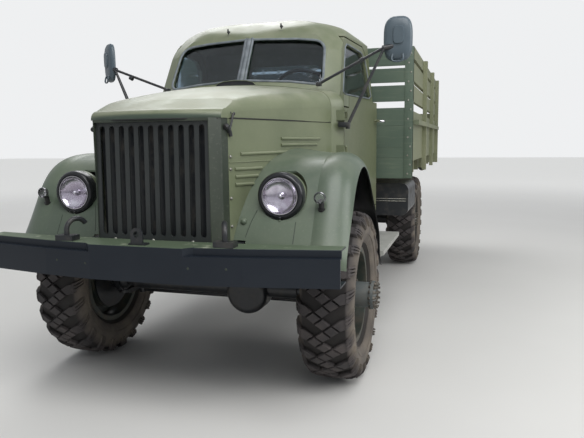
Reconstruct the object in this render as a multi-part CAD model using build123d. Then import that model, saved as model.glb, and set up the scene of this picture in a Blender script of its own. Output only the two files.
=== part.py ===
from build123d import *
import os
from math import atan2, cos, pi, radians, sin, sqrt

# Military cargo truck, four wheel drive, standing on its tyres.
# Lengths are millimetres. X points to the vehicle's left, Y to its rear and Z up.
# Heights are from the ground. Y is counted from a line just ahead of the front axle, and
# place() moves every piece so that the origin is on the ground under the middle of the truck.

# Overall sizes
WHEELBASE = 3300
FRONT_AXLE_Y = 70
FRONT_OVERHANG = 870
REAR_OVERHANG = 1355
TRACK = 1610

# Tyres, wheels and hubs
TYRE_DIAMETER = 957
TYRE_WIDTH = 306
TREAD_WIDTH = 262
SHOULDER_DROP = 34
BEAD_RADIUS = 256
BEAD_WIDTH = 176
RIM_FLANGE_RADIUS = 275
RIM_FLANGE_WIDTH = 10
RIM_SHEET = 9
DISC_OFFSET = 34
DISC_SHEET = 12
DISC_HOLES = 6
DISC_HOLE_RADIUS = 27
DISC_HOLE_CIRCLE = 196
HUB_RADIUS = 72
FRONT_HUB_LENGTH = 190
REAR_HUB_LENGTH = 122
HUB_FLANGE_RADIUS = 80
HUB_FLANGE_THICKNESS = 16
DRUM_RADIUS = 190
DRUM_WIDTH = 78
SPINDLE_RADIUS = 35
SPINDLE_REACH = 94
BACKPLATE_RADIUS = 184
BACKPLATE_SHEET = 8
NECK_RADIUS = 50
RUNNING_CLEARANCE = 0.05
MOVING_GAP = 8
SEAT_GAP = 0.3

# Axles and steering
AXLE_TUBE_RADIUS = 52
AXLE_NECK_RADIUS = 42
AXLE_NECK_LENGTH = 95
KINGPIN_X = 640
BALL_RADIUS = 62
CUP_GAP = 6
CUP_WALL = 12
KINGPIN_RADIUS = 20
DIFFERENTIAL_X = 240
DIFFERENTIAL_RADIUS = 128
DIFFERENTIAL_WIDTH = 170
DIFFERENTIAL_DROP = 22
STEERING_ARM = 222
TIE_ROD_RADIUS = 15
TIE_EYE_DROP = 92
TIE_EYE_RADIUS = 26
TIE_EYE_HEIGHT = 26
TIE_PIN_RADIUS = 10

# Bumper and tow hooks
BUMPER_HALF_WIDTH = 963
BUMPER_FLAT = 250
BUMPER_KNEE = 530
BUMPER_KNEE_SWEEP = 33
BUMPER_SWEEP = 109
BUMPER_REAR_SWEEP = 53
BUMPER_BOTTOM = 700
BUMPER_HEIGHT = 172
BUMPER_LEDGE_HEIGHT = 134
BUMPER_LEDGE_DEPTH = 26
BUMPER_EDGE_RADIUS = 6
BUMPER_DEPTH = 176
BUMPER_SHEET = 8
HOOK_X = 430
HOOK_Y = -722
HOOK_RISE = 48
HOOK_BEND = 55
HOOK_BAR_RADIUS = 13
HOOK_TURN = 150
HOOK_TOE_IN = 24

# Frame
FRAME_HALF_WIDTH = 430
RAIL_TOP = 856
RAIL_HEIGHT = 148
RAIL_FLANGE = 66
RAIL_SHEET = 8
RAIL_REAR = 4560
# Y of each cross member
CROSS_MEMBERS = (-560, 1500, 2500, 3720, 4480)

# Engine and drive line
ENGINE_HALF = 170
ENGINE_FRONT = -330
ENGINE_REAR = 400
ENGINE_LOW = 690
ENGINE_TOP = 1290
GEARBOX_REAR = 960
TRANSFER_FRONT = 1560
TRANSFER_REAR = 1860
SHAFT_Z = 665
MEMBER_DEPTH = 70

# Suspension
SPRING_WIDTH = 54
SPRING_LEAF = 9
SPRING_LEAVES = 8
SPRING_HALF_LENGTH = 520
SPRING_ARCH = 55
SPRING_X = 401

# Radiator, grille and engine bay
GRILLE_HALF_WIDTH = 312
GRILLE_BOTTOM = 862
GRILLE_TOP = 1452
GRILLE_FRONT = -618
GRILLE_RAKE = 15
GRILLE_SHEET = 10
GRILLE_SLOTS = 11
GRILLE_SLOT_WIDTH = 30
SHELL_HALF_WIDTH = 367
SHELL_REAR = -512
SHELL_SHEET = 10
BAY_FRONT_HALF_WIDTH = 367
BAY_REAR_HALF_WIDTH = 650
BAY_SHEET = 6
BELT = 1466

# Hood
HOOD_REAR = 466
HOOD_FRONT = -640
HOOD_SHEET = 7
HOOD_NOSE_RADIUS = 976
HOOD_NOSE_LOW = 1468
HOOD_NOSE_ROLL = 45
HOOD_NOSE_SLOPE = 0.45

# Front fenders
FENDER_SHEET = 8
FENDER_LIP_X = 945
FENDER_FAN_Z = 560
FENDER_CROWN_X = 770
ARCH_RADIUS = 550

# Lamps
HEADLAMP_X = 600
HEADLAMP_Y = -430
HEADLAMP_Z = 1082
HEADLAMP_RADIUS = 120
HEADLAMP_DEPTH = 170
RIM_DEPTH = 55
LENS_RADIUS = 91
MARKER_X = 805
MARKER_Y = -436
MARKER_Z = 1078
MARKER_RADIUS = 30

# Cab
COWL_FRONT = 475
COWL_WALL = 25
COWL_SIDE = 1562
COWL_CROWN = 1718
COWL_SHOULDER = 104
TONGUE_HALF = 628
TONGUE_REACH = 115
WINDSCREEN_BASE = 545
SCREEN_FOOT = 523
SCREEN_LEAN = 0.575
SCREEN_SWEEP = 0.12
CAB_FRONT_HALF_WIDTH = 716
CAB_REAR_HALF_WIDTH = 778
CAB_REAR = 1640
CAB_BOTTOM = 790
CAB_WALL = 42
CAB_BELT = 1640
CAB_CORNER = 120
BELT_STEP = 58
REAR_BELT_STEP = 26
TUMBLEHOME = 0.08
PILLAR_CORNER = 85
PILLAR_DEPTH = 145
PILLAR_FOOT = 70
ROOF_TOP = 2245
ROOF_EDGE = 2160
ROOF_SEAM = 2075
ROOF_TURN_Y = 1650
ROOF_TURN_LOW = 1960
ROOF_TURN_RADII = (1040, 880, 620)
REAR_PANEL_HALF = 560
GLASS_DEPTH = 18
GLASS_SHEET = 6
FLOOR_TOP = 940
FLOOR_SHEET = 30

# Doors
DOOR_FRONT = 554
DOOR_REAR = 1530
DOOR_GAP = 9
DOOR_INNER = 560
HINGE_OUT = 13
HINGE_PIN_RADIUS = 6
HINGE_HEIGHTS = (1290, 1510)
DOOR_TOP = 2058
DOOR_BOTTOM = 840
DOOR_CUT_HIGH = 1250
DOOR_CUT_REAR = 870
HANDLE_Z = 1500
# Columns: half width and height round one pane, then Y and height round the door's window
PANE_OUTLINE = [(26, 1760), (330, 1744), (505, 1722), (538, 1730), (552, 1760), (546, 1850), (536, 1958), (529, 1984),
                (514, 2005), (490, 2022), (458, 2031), (330, 2044), (26, 2052)]
DOOR_WINDOW = [(745, 1665), (840, 1840), (922, 1985), (972, 2012), (1290, 1996), (1376, 1940), (1462, 1675)]

# Seat and steering
SEAT_FRONT = 1000
SEAT_REAR = 1570
SEAT_TOP = 1330
STEERING_X = 340
STEERING_Y = 1000
STEERING_Z = 1700
STEERING_LEAN = 40
STEERING_RADIUS = 212
DASH_HALF = 574
DASH_DEPTH = 60

# Mirrors, running boards and fuel tank
MIRROR_Y = 640
LEFT_MIRROR = (1039, 1979, 0)
RIGHT_MIRROR = (1048, 1930, 40)
MIRROR_WIDTH = 180
MIRROR_HEIGHT = 275
MIRROR_CORNER = 68
MIRROR_DEPTH = 44
MIRROR_CLAMP = (545, 572)
BOARD_INNER = 730
BOARD_OUTER = 945
BOARD_FRONT = 770
BOARD_REAR = 1650
BOARD_TOP = 600
TANK_INNER = 520
TANK_OUTER = 1000
TANK_FRONT = 1800
TANK_REAR = 2420
TANK_LOW = 715
TANK_HIGH = 990

# Cargo bed
BED_FRONT = 1709
BED_HALF_WIDTH = 1037
BED_WALL = 42
BED_TOP = 2092
BED_FLOOR_TOP = 1202
BED_FLOOR_SHEET = 34
CROSS_BEARER = 108
BEARER_COUNT = 7
BEARER_WIDTH = 60
BED_POSTS = (2714, 3720)
POST_DEPTH = 36
POST_LOW = 1060
LEDGE_DEPTH = 45
GATE_HINGES = (-700, 0, 700)
GATE_HINGE_OUT = 4
GATE_BARREL_RADIUS = 16
GATE_PIN_RADIUS = 8
TAIL_LAMP_X = 880
TAIL_LAMP_Z = 1000

REAR_AXLE_Y = FRONT_AXLE_Y + WHEELBASE
NOSE_Y = FRONT_AXLE_Y - FRONT_OVERHANG
TAIL_Y = REAR_AXLE_Y + REAR_OVERHANG
Y_SHIFT = -(NOSE_Y + TAIL_Y) / 2
RAIL_FRONT = NOSE_Y + BUMPER_DEPTH
WHEEL_RADIUS = TYRE_DIAMETER / 2
WHEEL_X = TRACK / 2
TIE_EYE_Z = WHEEL_RADIUS - TIE_EYE_DROP
BED_REAR = TAIL_Y - GATE_HINGE_OUT - GATE_BARREL_RADIUS

os.makedirs("parts", exist_ok=True)


def box(x0, x1, y0, y1, z0, z1):
    """A block between two corners."""
    middle = Pos((x0 + x1) / 2, (y0 + y1) / 2, (z0 + z1) / 2)
    return middle * Box(abs(x1 - x0), abs(y1 - y0), abs(z1 - z0))


def rod(start, end, radius):
    """A round bar between two points."""
    a, b = Vector(start), Vector(end)
    plane = Plane(origin=a, z_dir=b - a)
    return extrude(plane * Circle(radius), (b - a).length)


def along_x(points, x0, x1):
    """A prism along X from a polygon of (Y, Z) points."""
    face = make_face(Polyline(*[(x0, y, z) for y, z in points], close=True))
    return extrude(face, x1 - x0, dir=(1, 0, 0))


def along_y(points, y0, y1):
    """A prism along Y from a polygon of (X, Z) points."""
    face = make_face(Polyline(*[(x, y0, z) for x, z in points], close=True))
    return extrude(face, y1 - y0, dir=(0, 1, 0))


def along_z(points, z0, z1):
    """A prism along Z from a polygon of (X, Y) points."""
    face = make_face(Polyline(*[(x, y, z0) for x, y in points], close=True))
    return extrude(face, z1 - z0, dir=(0, 0, 1))


def turned(points, x, y, z):
    """A solid of revolution about the X axis from (X, radius) points, moved to a place."""
    face = make_face(Polyline(*[(px, 0, pr) for px, pr in points], close=True))
    return Pos(x, y, z) * revolve(face, Axis.X)


def other_side(shape):
    """The same piece on the right of the vehicle."""
    return mirror(shape, about=Plane.YZ)


def place(name, *shapes):
    """Writes one node, moved from the front axle's frame to the part's own."""
    solids = []
    for shape in shapes:
        solids += list(shape.solids())
    moved = [Pos(0, Y_SHIFT, 0) * solid for solid in solids]
    whole = moved[0] if len(moved) == 1 else Compound(children=moved)
    export_step(whole, "parts/" + name + ".step")


# Tyres: the section runs out to the tips of the tread lugs
def tyre():
    half = TYRE_WIDTH / 2
    tread = TREAD_WIDTH / 2
    bead = BEAD_WIDTH / 2
    widest = (WHEEL_RADIUS + BEAD_RADIUS) / 2 + 20
    crown = WHEEL_RADIUS
    return [(-bead, BEAD_RADIUS), (-bead, RIM_FLANGE_RADIUS + 3), (-bead - 20, RIM_FLANGE_RADIUS + 16), (-half, widest),
            (-half + 2, crown - SHOULDER_DROP - 20), (-tread, crown - SHOULDER_DROP + 22), (-tread * 0.6, crown),
            (tread * 0.6, crown), (tread, crown - SHOULDER_DROP + 22), (half - 2, crown - SHOULDER_DROP - 20),
            (half, widest), (bead + 20, RIM_FLANGE_RADIUS + 16), (bead, RIM_FLANGE_RADIUS + 3), (bead, BEAD_RADIUS)]


# Wheel: rim with its flanges, dished disc with hand holes, brake drum and the hub
def wheel(inner_x, hub_length):
    bead = BEAD_WIDTH / 2
    edge = bead + RIM_FLANGE_WIDTH
    seat = BEAD_RADIUS - SEAT_GAP
    rim = [(-edge, seat - RIM_SHEET), (-edge, RIM_FLANGE_RADIUS), (-bead - SEAT_GAP, RIM_FLANGE_RADIUS - 4),
           (-bead - SEAT_GAP, seat), (bead + SEAT_GAP, seat), (bead + SEAT_GAP, RIM_FLANGE_RADIUS - 4),
           (edge, RIM_FLANGE_RADIUS), (edge, seat - RIM_SHEET)]
    disc = [(DISC_OFFSET, HUB_RADIUS - 10), (DISC_OFFSET, 150), (DISC_OFFSET - 26, seat - RIM_SHEET + 1),
            (DISC_OFFSET - 26 + DISC_SHEET, seat - RIM_SHEET + 1), (DISC_OFFSET + DISC_SHEET, 156),
            (DISC_OFFSET + DISC_SHEET, HUB_RADIUS - 10)]
    bore = SPINDLE_RADIUS + RUNNING_CLEARANCE
    back = inner_x - WHEEL_X
    hub = [(back, bore), (back, HUB_RADIUS - 14), (DISC_OFFSET, HUB_RADIUS),
           (hub_length - HUB_FLANGE_THICKNESS, HUB_RADIUS), (hub_length - HUB_FLANGE_THICKNESS, HUB_FLANGE_RADIUS),
           (hub_length, HUB_FLANGE_RADIUS), (hub_length, 0), (SPINDLE_REACH, 0), (SPINDLE_REACH, bore)]
    drum = [(back, HUB_RADIUS - 20), (back, DRUM_RADIUS), (back + DRUM_WIDTH, DRUM_RADIUS),
            (DISC_OFFSET, 140), (DISC_OFFSET, HUB_RADIUS - 20)]
    body = turned(rim, 0, 0, 0) + turned(disc, 0, 0, 0) + turned(hub, 0, 0, 0) + turned(drum, 0, 0, 0)
    for index in range(DISC_HOLES):
        turn = 2 * pi * index / DISC_HOLES
        y, z = DISC_HOLE_CIRCLE * cos(turn), DISC_HOLE_CIRCLE * sin(turn)
        body -= rod((-20, y, z), (bead, y, z), DISC_HOLE_RADIUS)
    return body


WHEEL_BACK = KINGPIN_X + BALL_RADIUS + CUP_GAP + CUP_WALL + BACKPLATE_SHEET + MOVING_GAP
for axle, y, hub_length in (("front", FRONT_AXLE_Y, FRONT_HUB_LENGTH), ("rear", REAR_AXLE_Y, REAR_HUB_LENGTH)):
    left_tyre = turned(tyre(), WHEEL_X, y, WHEEL_RADIUS)
    left_wheel = Pos(WHEEL_X, y, WHEEL_RADIUS) * wheel(WHEEL_BACK, hub_length)
    place("tyre_" + axle + "_left", left_tyre)
    place("tyre_" + axle + "_right", other_side(left_tyre))
    place("wheel_" + axle + "_left", left_wheel)
    place("wheel_" + axle + "_right", other_side(left_wheel))


# Steering knuckle: a cup round the axle's ball, its kingpin, the brake plate, spindle and arm
def knuckle():
    centre = Pos(KINGPIN_X, 0, WHEEL_RADIUS)
    inner = BALL_RADIUS + CUP_GAP
    outer = inner + CUP_WALL
    lip = -12
    plate_x = WHEEL_BACK - MOVING_GAP - KINGPIN_X
    spindle_x = WHEEL_X + SPINDLE_REACH - MOVING_GAP - KINGPIN_X
    neck_x = sqrt(outer ** 2 - NECK_RADIUS ** 2)
    inner_lip, outer_lip = sqrt(inner ** 2 - lip ** 2), sqrt(outer ** 2 - lip ** 2)
    middle = cos(pi / 4)
    profile = [ThreePointArc((lip, 0, inner_lip), (inner * middle, 0, inner * middle), (inner, 0, 0)),
               Polyline((inner, 0, 0), (spindle_x, 0, 0), (spindle_x, 0, SPINDLE_RADIUS), (plate_x, 0, SPINDLE_RADIUS),
                        (plate_x, 0, BACKPLATE_RADIUS), (plate_x - BACKPLATE_SHEET, 0, BACKPLATE_RADIUS),
                        (plate_x - BACKPLATE_SHEET, 0, NECK_RADIUS), (neck_x, 0, NECK_RADIUS)),
               ThreePointArc((neck_x, 0, NECK_RADIUS), (outer * 0.5, 0, outer * sqrt(0.75)), (lip, 0, outer_lip)),
               Line((lip, 0, outer_lip), (lip, 0, inner_lip))]
    body = centre * revolve(make_face(profile), Axis.X)
    pin_top = WHEEL_RADIUS + outer + 14
    pin_bottom = WHEEL_RADIUS - outer - 14
    body += rod((KINGPIN_X, 0, pin_bottom), (KINGPIN_X, 0, pin_top), KINGPIN_RADIUS)
    for low, high in ((WHEEL_RADIUS + inner + 4, pin_top - 4), (pin_bottom + 4, WHEEL_RADIUS - inner - 4)):
        body += rod((KINGPIN_X, 0, low), (KINGPIN_X, 0, high), KINGPIN_RADIUS + 14)
    arm_top = WHEEL_RADIUS - outer + 4
    arm_low = TIE_EYE_Z - TIE_EYE_HEIGHT / 2
    arm_high = TIE_EYE_Z + TIE_EYE_HEIGHT / 2
    arm = along_x([(24, arm_top - 30), (24, arm_top), (STEERING_ARM, arm_high), (STEERING_ARM, arm_low)],
                  KINGPIN_X - 18, KINGPIN_X + 18)
    arm += rod((KINGPIN_X, STEERING_ARM, arm_low), (KINGPIN_X, STEERING_ARM, arm_high), TIE_EYE_RADIUS)
    body += arm
    body -= rod((KINGPIN_X, STEERING_ARM, arm_low - 5), (KINGPIN_X, STEERING_ARM, arm_high + 40),
                TIE_PIN_RADIUS + RUNNING_CLEARANCE)
    return body


left_knuckle = Pos(0, FRONT_AXLE_Y, 0) * knuckle()
place("knuckle_left", left_knuckle)
place("knuckle_right", other_side(left_knuckle))

# Tie rod between the two steering arms, with an eye and a pin at each end
tie_top = TIE_EYE_Z - TIE_EYE_HEIGHT / 2 - SEAT_GAP
tie_axis = tie_top - TIE_ROD_RADIUS - 3
tie_y = FRONT_AXLE_Y + STEERING_ARM
tie_rod = rod((-KINGPIN_X, tie_y, tie_axis), (KINGPIN_X, tie_y, tie_axis), TIE_ROD_RADIUS)
for side in (-1, 1):
    x = side * KINGPIN_X
    tie_rod += rod((x, tie_y, tie_axis - TIE_ROD_RADIUS - 3), (x, tie_y, tie_top), TIE_EYE_RADIUS - 2)
    tie_rod += rod((x, tie_y, tie_top - 5), (x, tie_y, tie_top + TIE_EYE_HEIGHT + 8), TIE_PIN_RADIUS)
place("tie_rod", tie_rod)


# Axles: a tube with the banjo housing to the vehicle's left of the middle
def banjo(y):
    z = WHEEL_RADIUS - DIFFERENTIAL_DROP
    half = DIFFERENTIAL_WIDTH / 2
    housing = rod((DIFFERENTIAL_X, y - half, z), (DIFFERENTIAL_X, y + half, z), DIFFERENTIAL_RADIUS)
    return fillet(housing.edges().filter_by(GeomType.CIRCLE), 35)


tube_end = KINGPIN_X - AXLE_NECK_LENGTH
front_axle = rod((-tube_end, 0, WHEEL_RADIUS), (tube_end, 0, WHEEL_RADIUS), AXLE_TUBE_RADIUS) + banjo(0)
front_axle += rod((-KINGPIN_X, 0, WHEEL_RADIUS), (KINGPIN_X, 0, WHEEL_RADIUS), AXLE_NECK_RADIUS)
for side in (-1, 1):
    x = side * KINGPIN_X
    pin_hole = rod((x, 0, WHEEL_RADIUS - 2 * BALL_RADIUS), (x, 0, WHEEL_RADIUS + 2 * BALL_RADIUS),
                   KINGPIN_RADIUS + RUNNING_CLEARANCE)
    front_axle -= pin_hole
    front_axle += Pos(x, 0, WHEEL_RADIUS) * Sphere(BALL_RADIUS) - pin_hole
place("front_axle", Pos(0, FRONT_AXLE_Y, 0) * front_axle)

rear_flange = WHEEL_BACK - MOVING_GAP
spindle_end = WHEEL_X + SPINDLE_REACH - MOVING_GAP
rear_axle = rod((-rear_flange, 0, WHEEL_RADIUS), (rear_flange, 0, WHEEL_RADIUS), AXLE_TUBE_RADIUS) + banjo(0)
rear_axle += rod((-spindle_end, 0, WHEEL_RADIUS), (spindle_end, 0, WHEEL_RADIUS), SPINDLE_RADIUS)
for side in (-1, 1):
    rear_axle += rod((side * rear_flange, 0, WHEEL_RADIUS), (side * (rear_flange - BACKPLATE_SHEET), 0, WHEEL_RADIUS),
                     BACKPLATE_RADIUS)
place("rear_axle", Pos(0, REAR_AXLE_Y, 0) * rear_axle)


# Leaf springs: an arched pack on the axle's seat, hung from the rail at both ends
def leaf_spring(x, y, seat_z, half_length, arch):
    pack = SPRING_LEAF * SPRING_LEAVES
    solids = None
    for index in range(SPRING_LEAVES):
        share = 1 - 0.1 * index
        length = half_length * share
        rise = arch * share * share
        z = seat_z + pack - SPRING_LEAF * (index + 1)
        lower = ThreePointArc((x, y - length, z + rise), (x, y, z), (x, y + length, z + rise))
        upper = ThreePointArc((x, y + length, z + rise + SPRING_LEAF), (x, y, z + SPRING_LEAF),
                              (x, y - length, z + rise + SPRING_LEAF))
        ends = [Line(lower @ 1, upper @ 0), Line(upper @ 1, lower @ 0)]
        leaf = extrude(make_face([lower, upper] + ends), SPRING_WIDTH / 2, both=True, dir=(1, 0, 0))
        solids = leaf if solids is None else solids + leaf
    return solids


rail_bottom = RAIL_TOP - RAIL_HEIGHT
springs = []
for y in (FRONT_AXLE_Y, REAR_AXLE_Y):
    seat = WHEEL_RADIUS + AXLE_TUBE_RADIUS + SEAT_GAP
    spring = leaf_spring(SPRING_X, y, seat, SPRING_HALF_LENGTH, SPRING_ARCH)
    for end in (-1, 1):
        top_y = y + end * (SPRING_HALF_LENGTH - 12)
        hanger_low = seat + SPRING_LEAF * SPRING_LEAVES + 30
        spring += box(SPRING_X - SPRING_WIDTH / 2, SPRING_X + SPRING_WIDTH / 2 - 4, top_y - 24, top_y + 24,
                      hanger_low - 10, rail_bottom - SEAT_GAP)
    springs += [spring, other_side(spring)]
place("leaf_springs", *springs)

# Frame: two channel rails and the members across them
rail_inner = FRAME_HALF_WIDTH - RAIL_FLANGE
web_inner = FRAME_HALF_WIDTH - RAIL_SHEET
channel = [(FRAME_HALF_WIDTH, rail_bottom), (FRAME_HALF_WIDTH, RAIL_TOP), (rail_inner, RAIL_TOP),
           (rail_inner, RAIL_TOP - RAIL_SHEET), (web_inner, RAIL_TOP - RAIL_SHEET),
           (web_inner, rail_bottom + RAIL_SHEET), (rail_inner, rail_bottom + RAIL_SHEET), (rail_inner, rail_bottom)]
rail = along_y(channel, RAIL_FRONT, RAIL_REAR)
frame = rail + other_side(rail)

low, high = rail_bottom + 2 * RAIL_SHEET, RAIL_TOP - 2 * RAIL_SHEET
for y in CROSS_MEMBERS:
    front, back = y - MEMBER_DEPTH / 2, y + MEMBER_DEPTH / 2
    profile = [(front, low), (front, high), (back, high), (back, high - RAIL_SHEET),
               (front + RAIL_SHEET, high - RAIL_SHEET), (front + RAIL_SHEET, low + RAIL_SHEET),
               (back, low + RAIL_SHEET), (back, low)]
    frame += along_x(profile, -web_inner, web_inner)
place("chassis_frame", frame)

# Engine with its gearbox on two brackets, and the transfer case behind it
engine = box(-ENGINE_HALF, ENGINE_HALF, ENGINE_FRONT, ENGINE_REAR, ENGINE_LOW, ENGINE_TOP)
engine += box(-110, 110, ENGINE_REAR, GEARBOX_REAR, ENGINE_LOW - 60, RAIL_TOP - 10)
for side in (-1, 1):
    engine += box(side * ENGINE_HALF, side * (rail_inner + 40), 60, 110, RAIL_TOP, RAIL_TOP + 30)
place("engine_block", engine)

carrier_rear = CROSS_MEMBERS[1] + MEMBER_DEPTH / 2
transfer = box(-130, 150, TRANSFER_FRONT, TRANSFER_REAR, 560, RAIL_TOP - 26)
transfer = fillet(transfer.edges().filter_by(Axis.X), 55)
transfer += box(-100, 100, carrier_rear, TRANSFER_FRONT + 60, RAIL_TOP - RAIL_HEIGHT + 2 * RAIL_SHEET, RAIL_TOP - 90)
place("transfer_case", transfer)


def prop_shaft(start, end, radius):
    """A shaft between two upright flanges that face along Y."""
    x0, y0, z0 = start
    x1, y1, z1 = end
    shaft = rod((x0, y0 + 8, z0), (x1, y1 - 8, z1), radius)
    shaft += rod((x0, y0, z0), (x0, y0 + 16, z0), radius + 16)
    return shaft + rod((x1, y1 - 16, z1), (x1, y1, z1), radius + 16)


diff_z = WHEEL_RADIUS - DIFFERENTIAL_DROP
diff_face = DIFFERENTIAL_WIDTH / 2 + SEAT_GAP
shafts = [prop_shaft((0, GEARBOX_REAR + SEAT_GAP, SHAFT_Z), (0, TRANSFER_FRONT - SEAT_GAP, SHAFT_Z), 30),
          prop_shaft((DIFFERENTIAL_X, FRONT_AXLE_Y + diff_face, diff_z), (100, TRANSFER_FRONT - SEAT_GAP, 625), 28),
          prop_shaft((100, TRANSFER_REAR + SEAT_GAP, 625), (DIFFERENTIAL_X, REAR_AXLE_Y - diff_face, diff_z), 28)]
place("propeller_shafts", *shafts)

# Exhaust: silencer under the right rail and its tail pipe
silencer_x = -FRAME_HALF_WIDTH - 110
silencer = rod((silencer_x, 1750, 640), (silencer_x, 2350, 640), 80)
silencer += rod((silencer_x, 1100, 640), (silencer_x, 1750, 640), 26) + rod((silencer_x, 2350, 640), (silencer_x, 2680, 640), 26)
silencer += box(silencer_x - 10, -FRAME_HALF_WIDTH - SEAT_GAP, 2000, 2040, 640, 780)
place("exhaust", silencer)


# Bumper: a folded channel with swept open ends and a step along the top of its outer parts
def bumper_plan(inset, step, half):
    """Closed plan of the channel, its front set back by the sheet and by the step."""
    back = NOSE_Y + BUMPER_DEPTH + (1 if inset else 0)
    flush, outer = NOSE_Y + inset, NOSE_Y + inset + step
    turn = [(BUMPER_FLAT + 1.5 * step, outer + 6)] if step else []
    left = [(BUMPER_FLAT, flush)] + turn + [(BUMPER_KNEE, outer + BUMPER_KNEE_SWEEP), (half, outer + BUMPER_SWEEP),
                                            (half, back + BUMPER_REAR_SWEEP), (FRAME_HALF_WIDTH + 10, back)]
    return left + [(-x, y) for x, y in left[::-1]]


ledge_z, bumper_top = BUMPER_BOTTOM + BUMPER_LEDGE_HEIGHT, BUMPER_BOTTOM + BUMPER_HEIGHT
open_half = BUMPER_HALF_WIDTH + 1
bumper = along_z(bumper_plan(0, 0, BUMPER_HALF_WIDTH), BUMPER_BOTTOM, ledge_z)
bumper += along_z(bumper_plan(0, BUMPER_LEDGE_DEPTH, BUMPER_HALF_WIDTH), ledge_z, bumper_top)
hollow = along_z(bumper_plan(BUMPER_SHEET, 0, open_half), BUMPER_BOTTOM + BUMPER_SHEET, ledge_z - BUMPER_SHEET)
hollow += along_z(bumper_plan(BUMPER_SHEET, BUMPER_LEDGE_DEPTH, open_half), ledge_z - BUMPER_SHEET, bumper_top - BUMPER_SHEET)
bumper -= hollow
front_edges = [edge for edge in bumper.edges() if abs(edge.center().Z - bumper_top) < 1 and edge.length > 150
               and edge.center().Y < NOSE_Y + 120]
bumper = fillet(front_edges, BUMPER_EDGE_RADIUS)
place("front_bumper", bumper)

# Tow hooks that curl up and back from the bumper's top, and the crank guide lug between them
hook_z = bumper_top + HOOK_RISE
horn = Pos(HOOK_X, HOOK_Y, hook_z) * Circle(HOOK_BAR_RADIUS)
hook = revolve(horn, Axis((HOOK_X, HOOK_Y + HOOK_BEND, hook_z), (-1, 0, 0)), HOOK_TURN)
hook += rod((HOOK_X, HOOK_Y, bumper_top), (HOOK_X, HOOK_Y, hook_z), HOOK_BAR_RADIUS)
hook = hook.rotate(Axis((HOOK_X, HOOK_Y, 0), (0, 0, 1)), HOOK_TOE_IN)
hook += box(HOOK_X - 50, HOOK_X + 50, HOOK_Y - 26, HOOK_Y + 34, bumper_top, bumper_top + 26)
lug = box(-32, 32, -775, -765, bumper_top, bumper_top + 50) + rod((0, -775, bumper_top + 50), (0, -765, bumper_top + 50), 32)
lug += box(-45, 45, -775, -735, bumper_top, bumper_top + 8)
lug -= rod((0, -800, bumper_top + 52), (0, -700, bumper_top + 52), 15)
place("tow_hooks", hook, other_side(hook), lug)

# Grille: a raked panel with round-ended upright slots
grille_half = GRILLE_HALF_WIDTH
face = [(GRILLE_FRONT, GRILLE_BOTTOM), (GRILLE_FRONT + GRILLE_RAKE, GRILLE_TOP),
        (GRILLE_FRONT + GRILLE_RAKE + GRILLE_SHEET, GRILLE_TOP), (GRILLE_FRONT + GRILLE_SHEET, GRILLE_BOTTOM)]
grille = along_x(face, -grille_half, grille_half)
pitch = 2 * grille_half / (GRILLE_SLOTS + 0.4)
slot_low, slot_high = GRILLE_BOTTOM + 45, GRILLE_TOP - 32
for index in range(GRILLE_SLOTS):
    x = (index - (GRILLE_SLOTS - 1) / 2) * pitch
    half = GRILLE_SLOT_WIDTH / 2
    slot = box(x - half, x + half, GRILLE_FRONT - 50, GRILLE_FRONT + 80, slot_low, slot_high)
    for z in (slot_low, slot_high):
        slot += rod((x, GRILLE_FRONT - 50, z), (x, GRILLE_FRONT + 80, z), half)
    grille -= slot
place("grille_panel", grille)

# Radiator shell: the sheet round the grille that meets the engine side panels
shell_top = BELT - SEAT_GAP
outer = [(-SHELL_HALF_WIDTH, SHELL_REAR), (-SHELL_HALF_WIDTH + 12, -560), (-grille_half - 4, GRILLE_FRONT - 2),
         (grille_half + 4, GRILLE_FRONT - 2), (SHELL_HALF_WIDTH - 12, -560), (SHELL_HALF_WIDTH, SHELL_REAR)]
inside = [(x * 0.965, y + SHELL_SHEET) for x, y in outer[1:-1]]
inside = [(-SHELL_HALF_WIDTH + SHELL_SHEET, SHELL_REAR + 1)] + inside + [(SHELL_HALF_WIDTH - SHELL_SHEET, SHELL_REAR + 1)]
shell = along_z(outer, GRILLE_BOTTOM - 4, shell_top) - along_z(inside, GRILLE_BOTTOM - 10, shell_top - SHELL_SHEET)
shell -= box(-grille_half - SEAT_GAP, grille_half + SEAT_GAP, GRILLE_FRONT - 60, GRILLE_FRONT + 60,
             GRILLE_BOTTOM - SEAT_GAP, GRILLE_TOP + SEAT_GAP)
place("radiator_shell", shell)

radiator = box(-300, 300, SHELL_REAR - 60, SHELL_REAR + 20, RAIL_TOP + 20, GRILLE_TOP - 10)
radiator += box(-240, 240, SHELL_REAR - 50, SHELL_REAR - 20, RAIL_TOP - 2 * RAIL_SHEET, RAIL_TOP + 20)
place("radiator", radiator)


# Engine side panels: flat plates that widen from the shell to the cowl
def bay_half(y):
    share = (y - SHELL_REAR) / (COWL_FRONT - SHELL_REAR)
    return BAY_FRONT_HALF_WIDTH + (BAY_REAR_HALF_WIDTH - BAY_FRONT_HALF_WIDTH) * share


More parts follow.
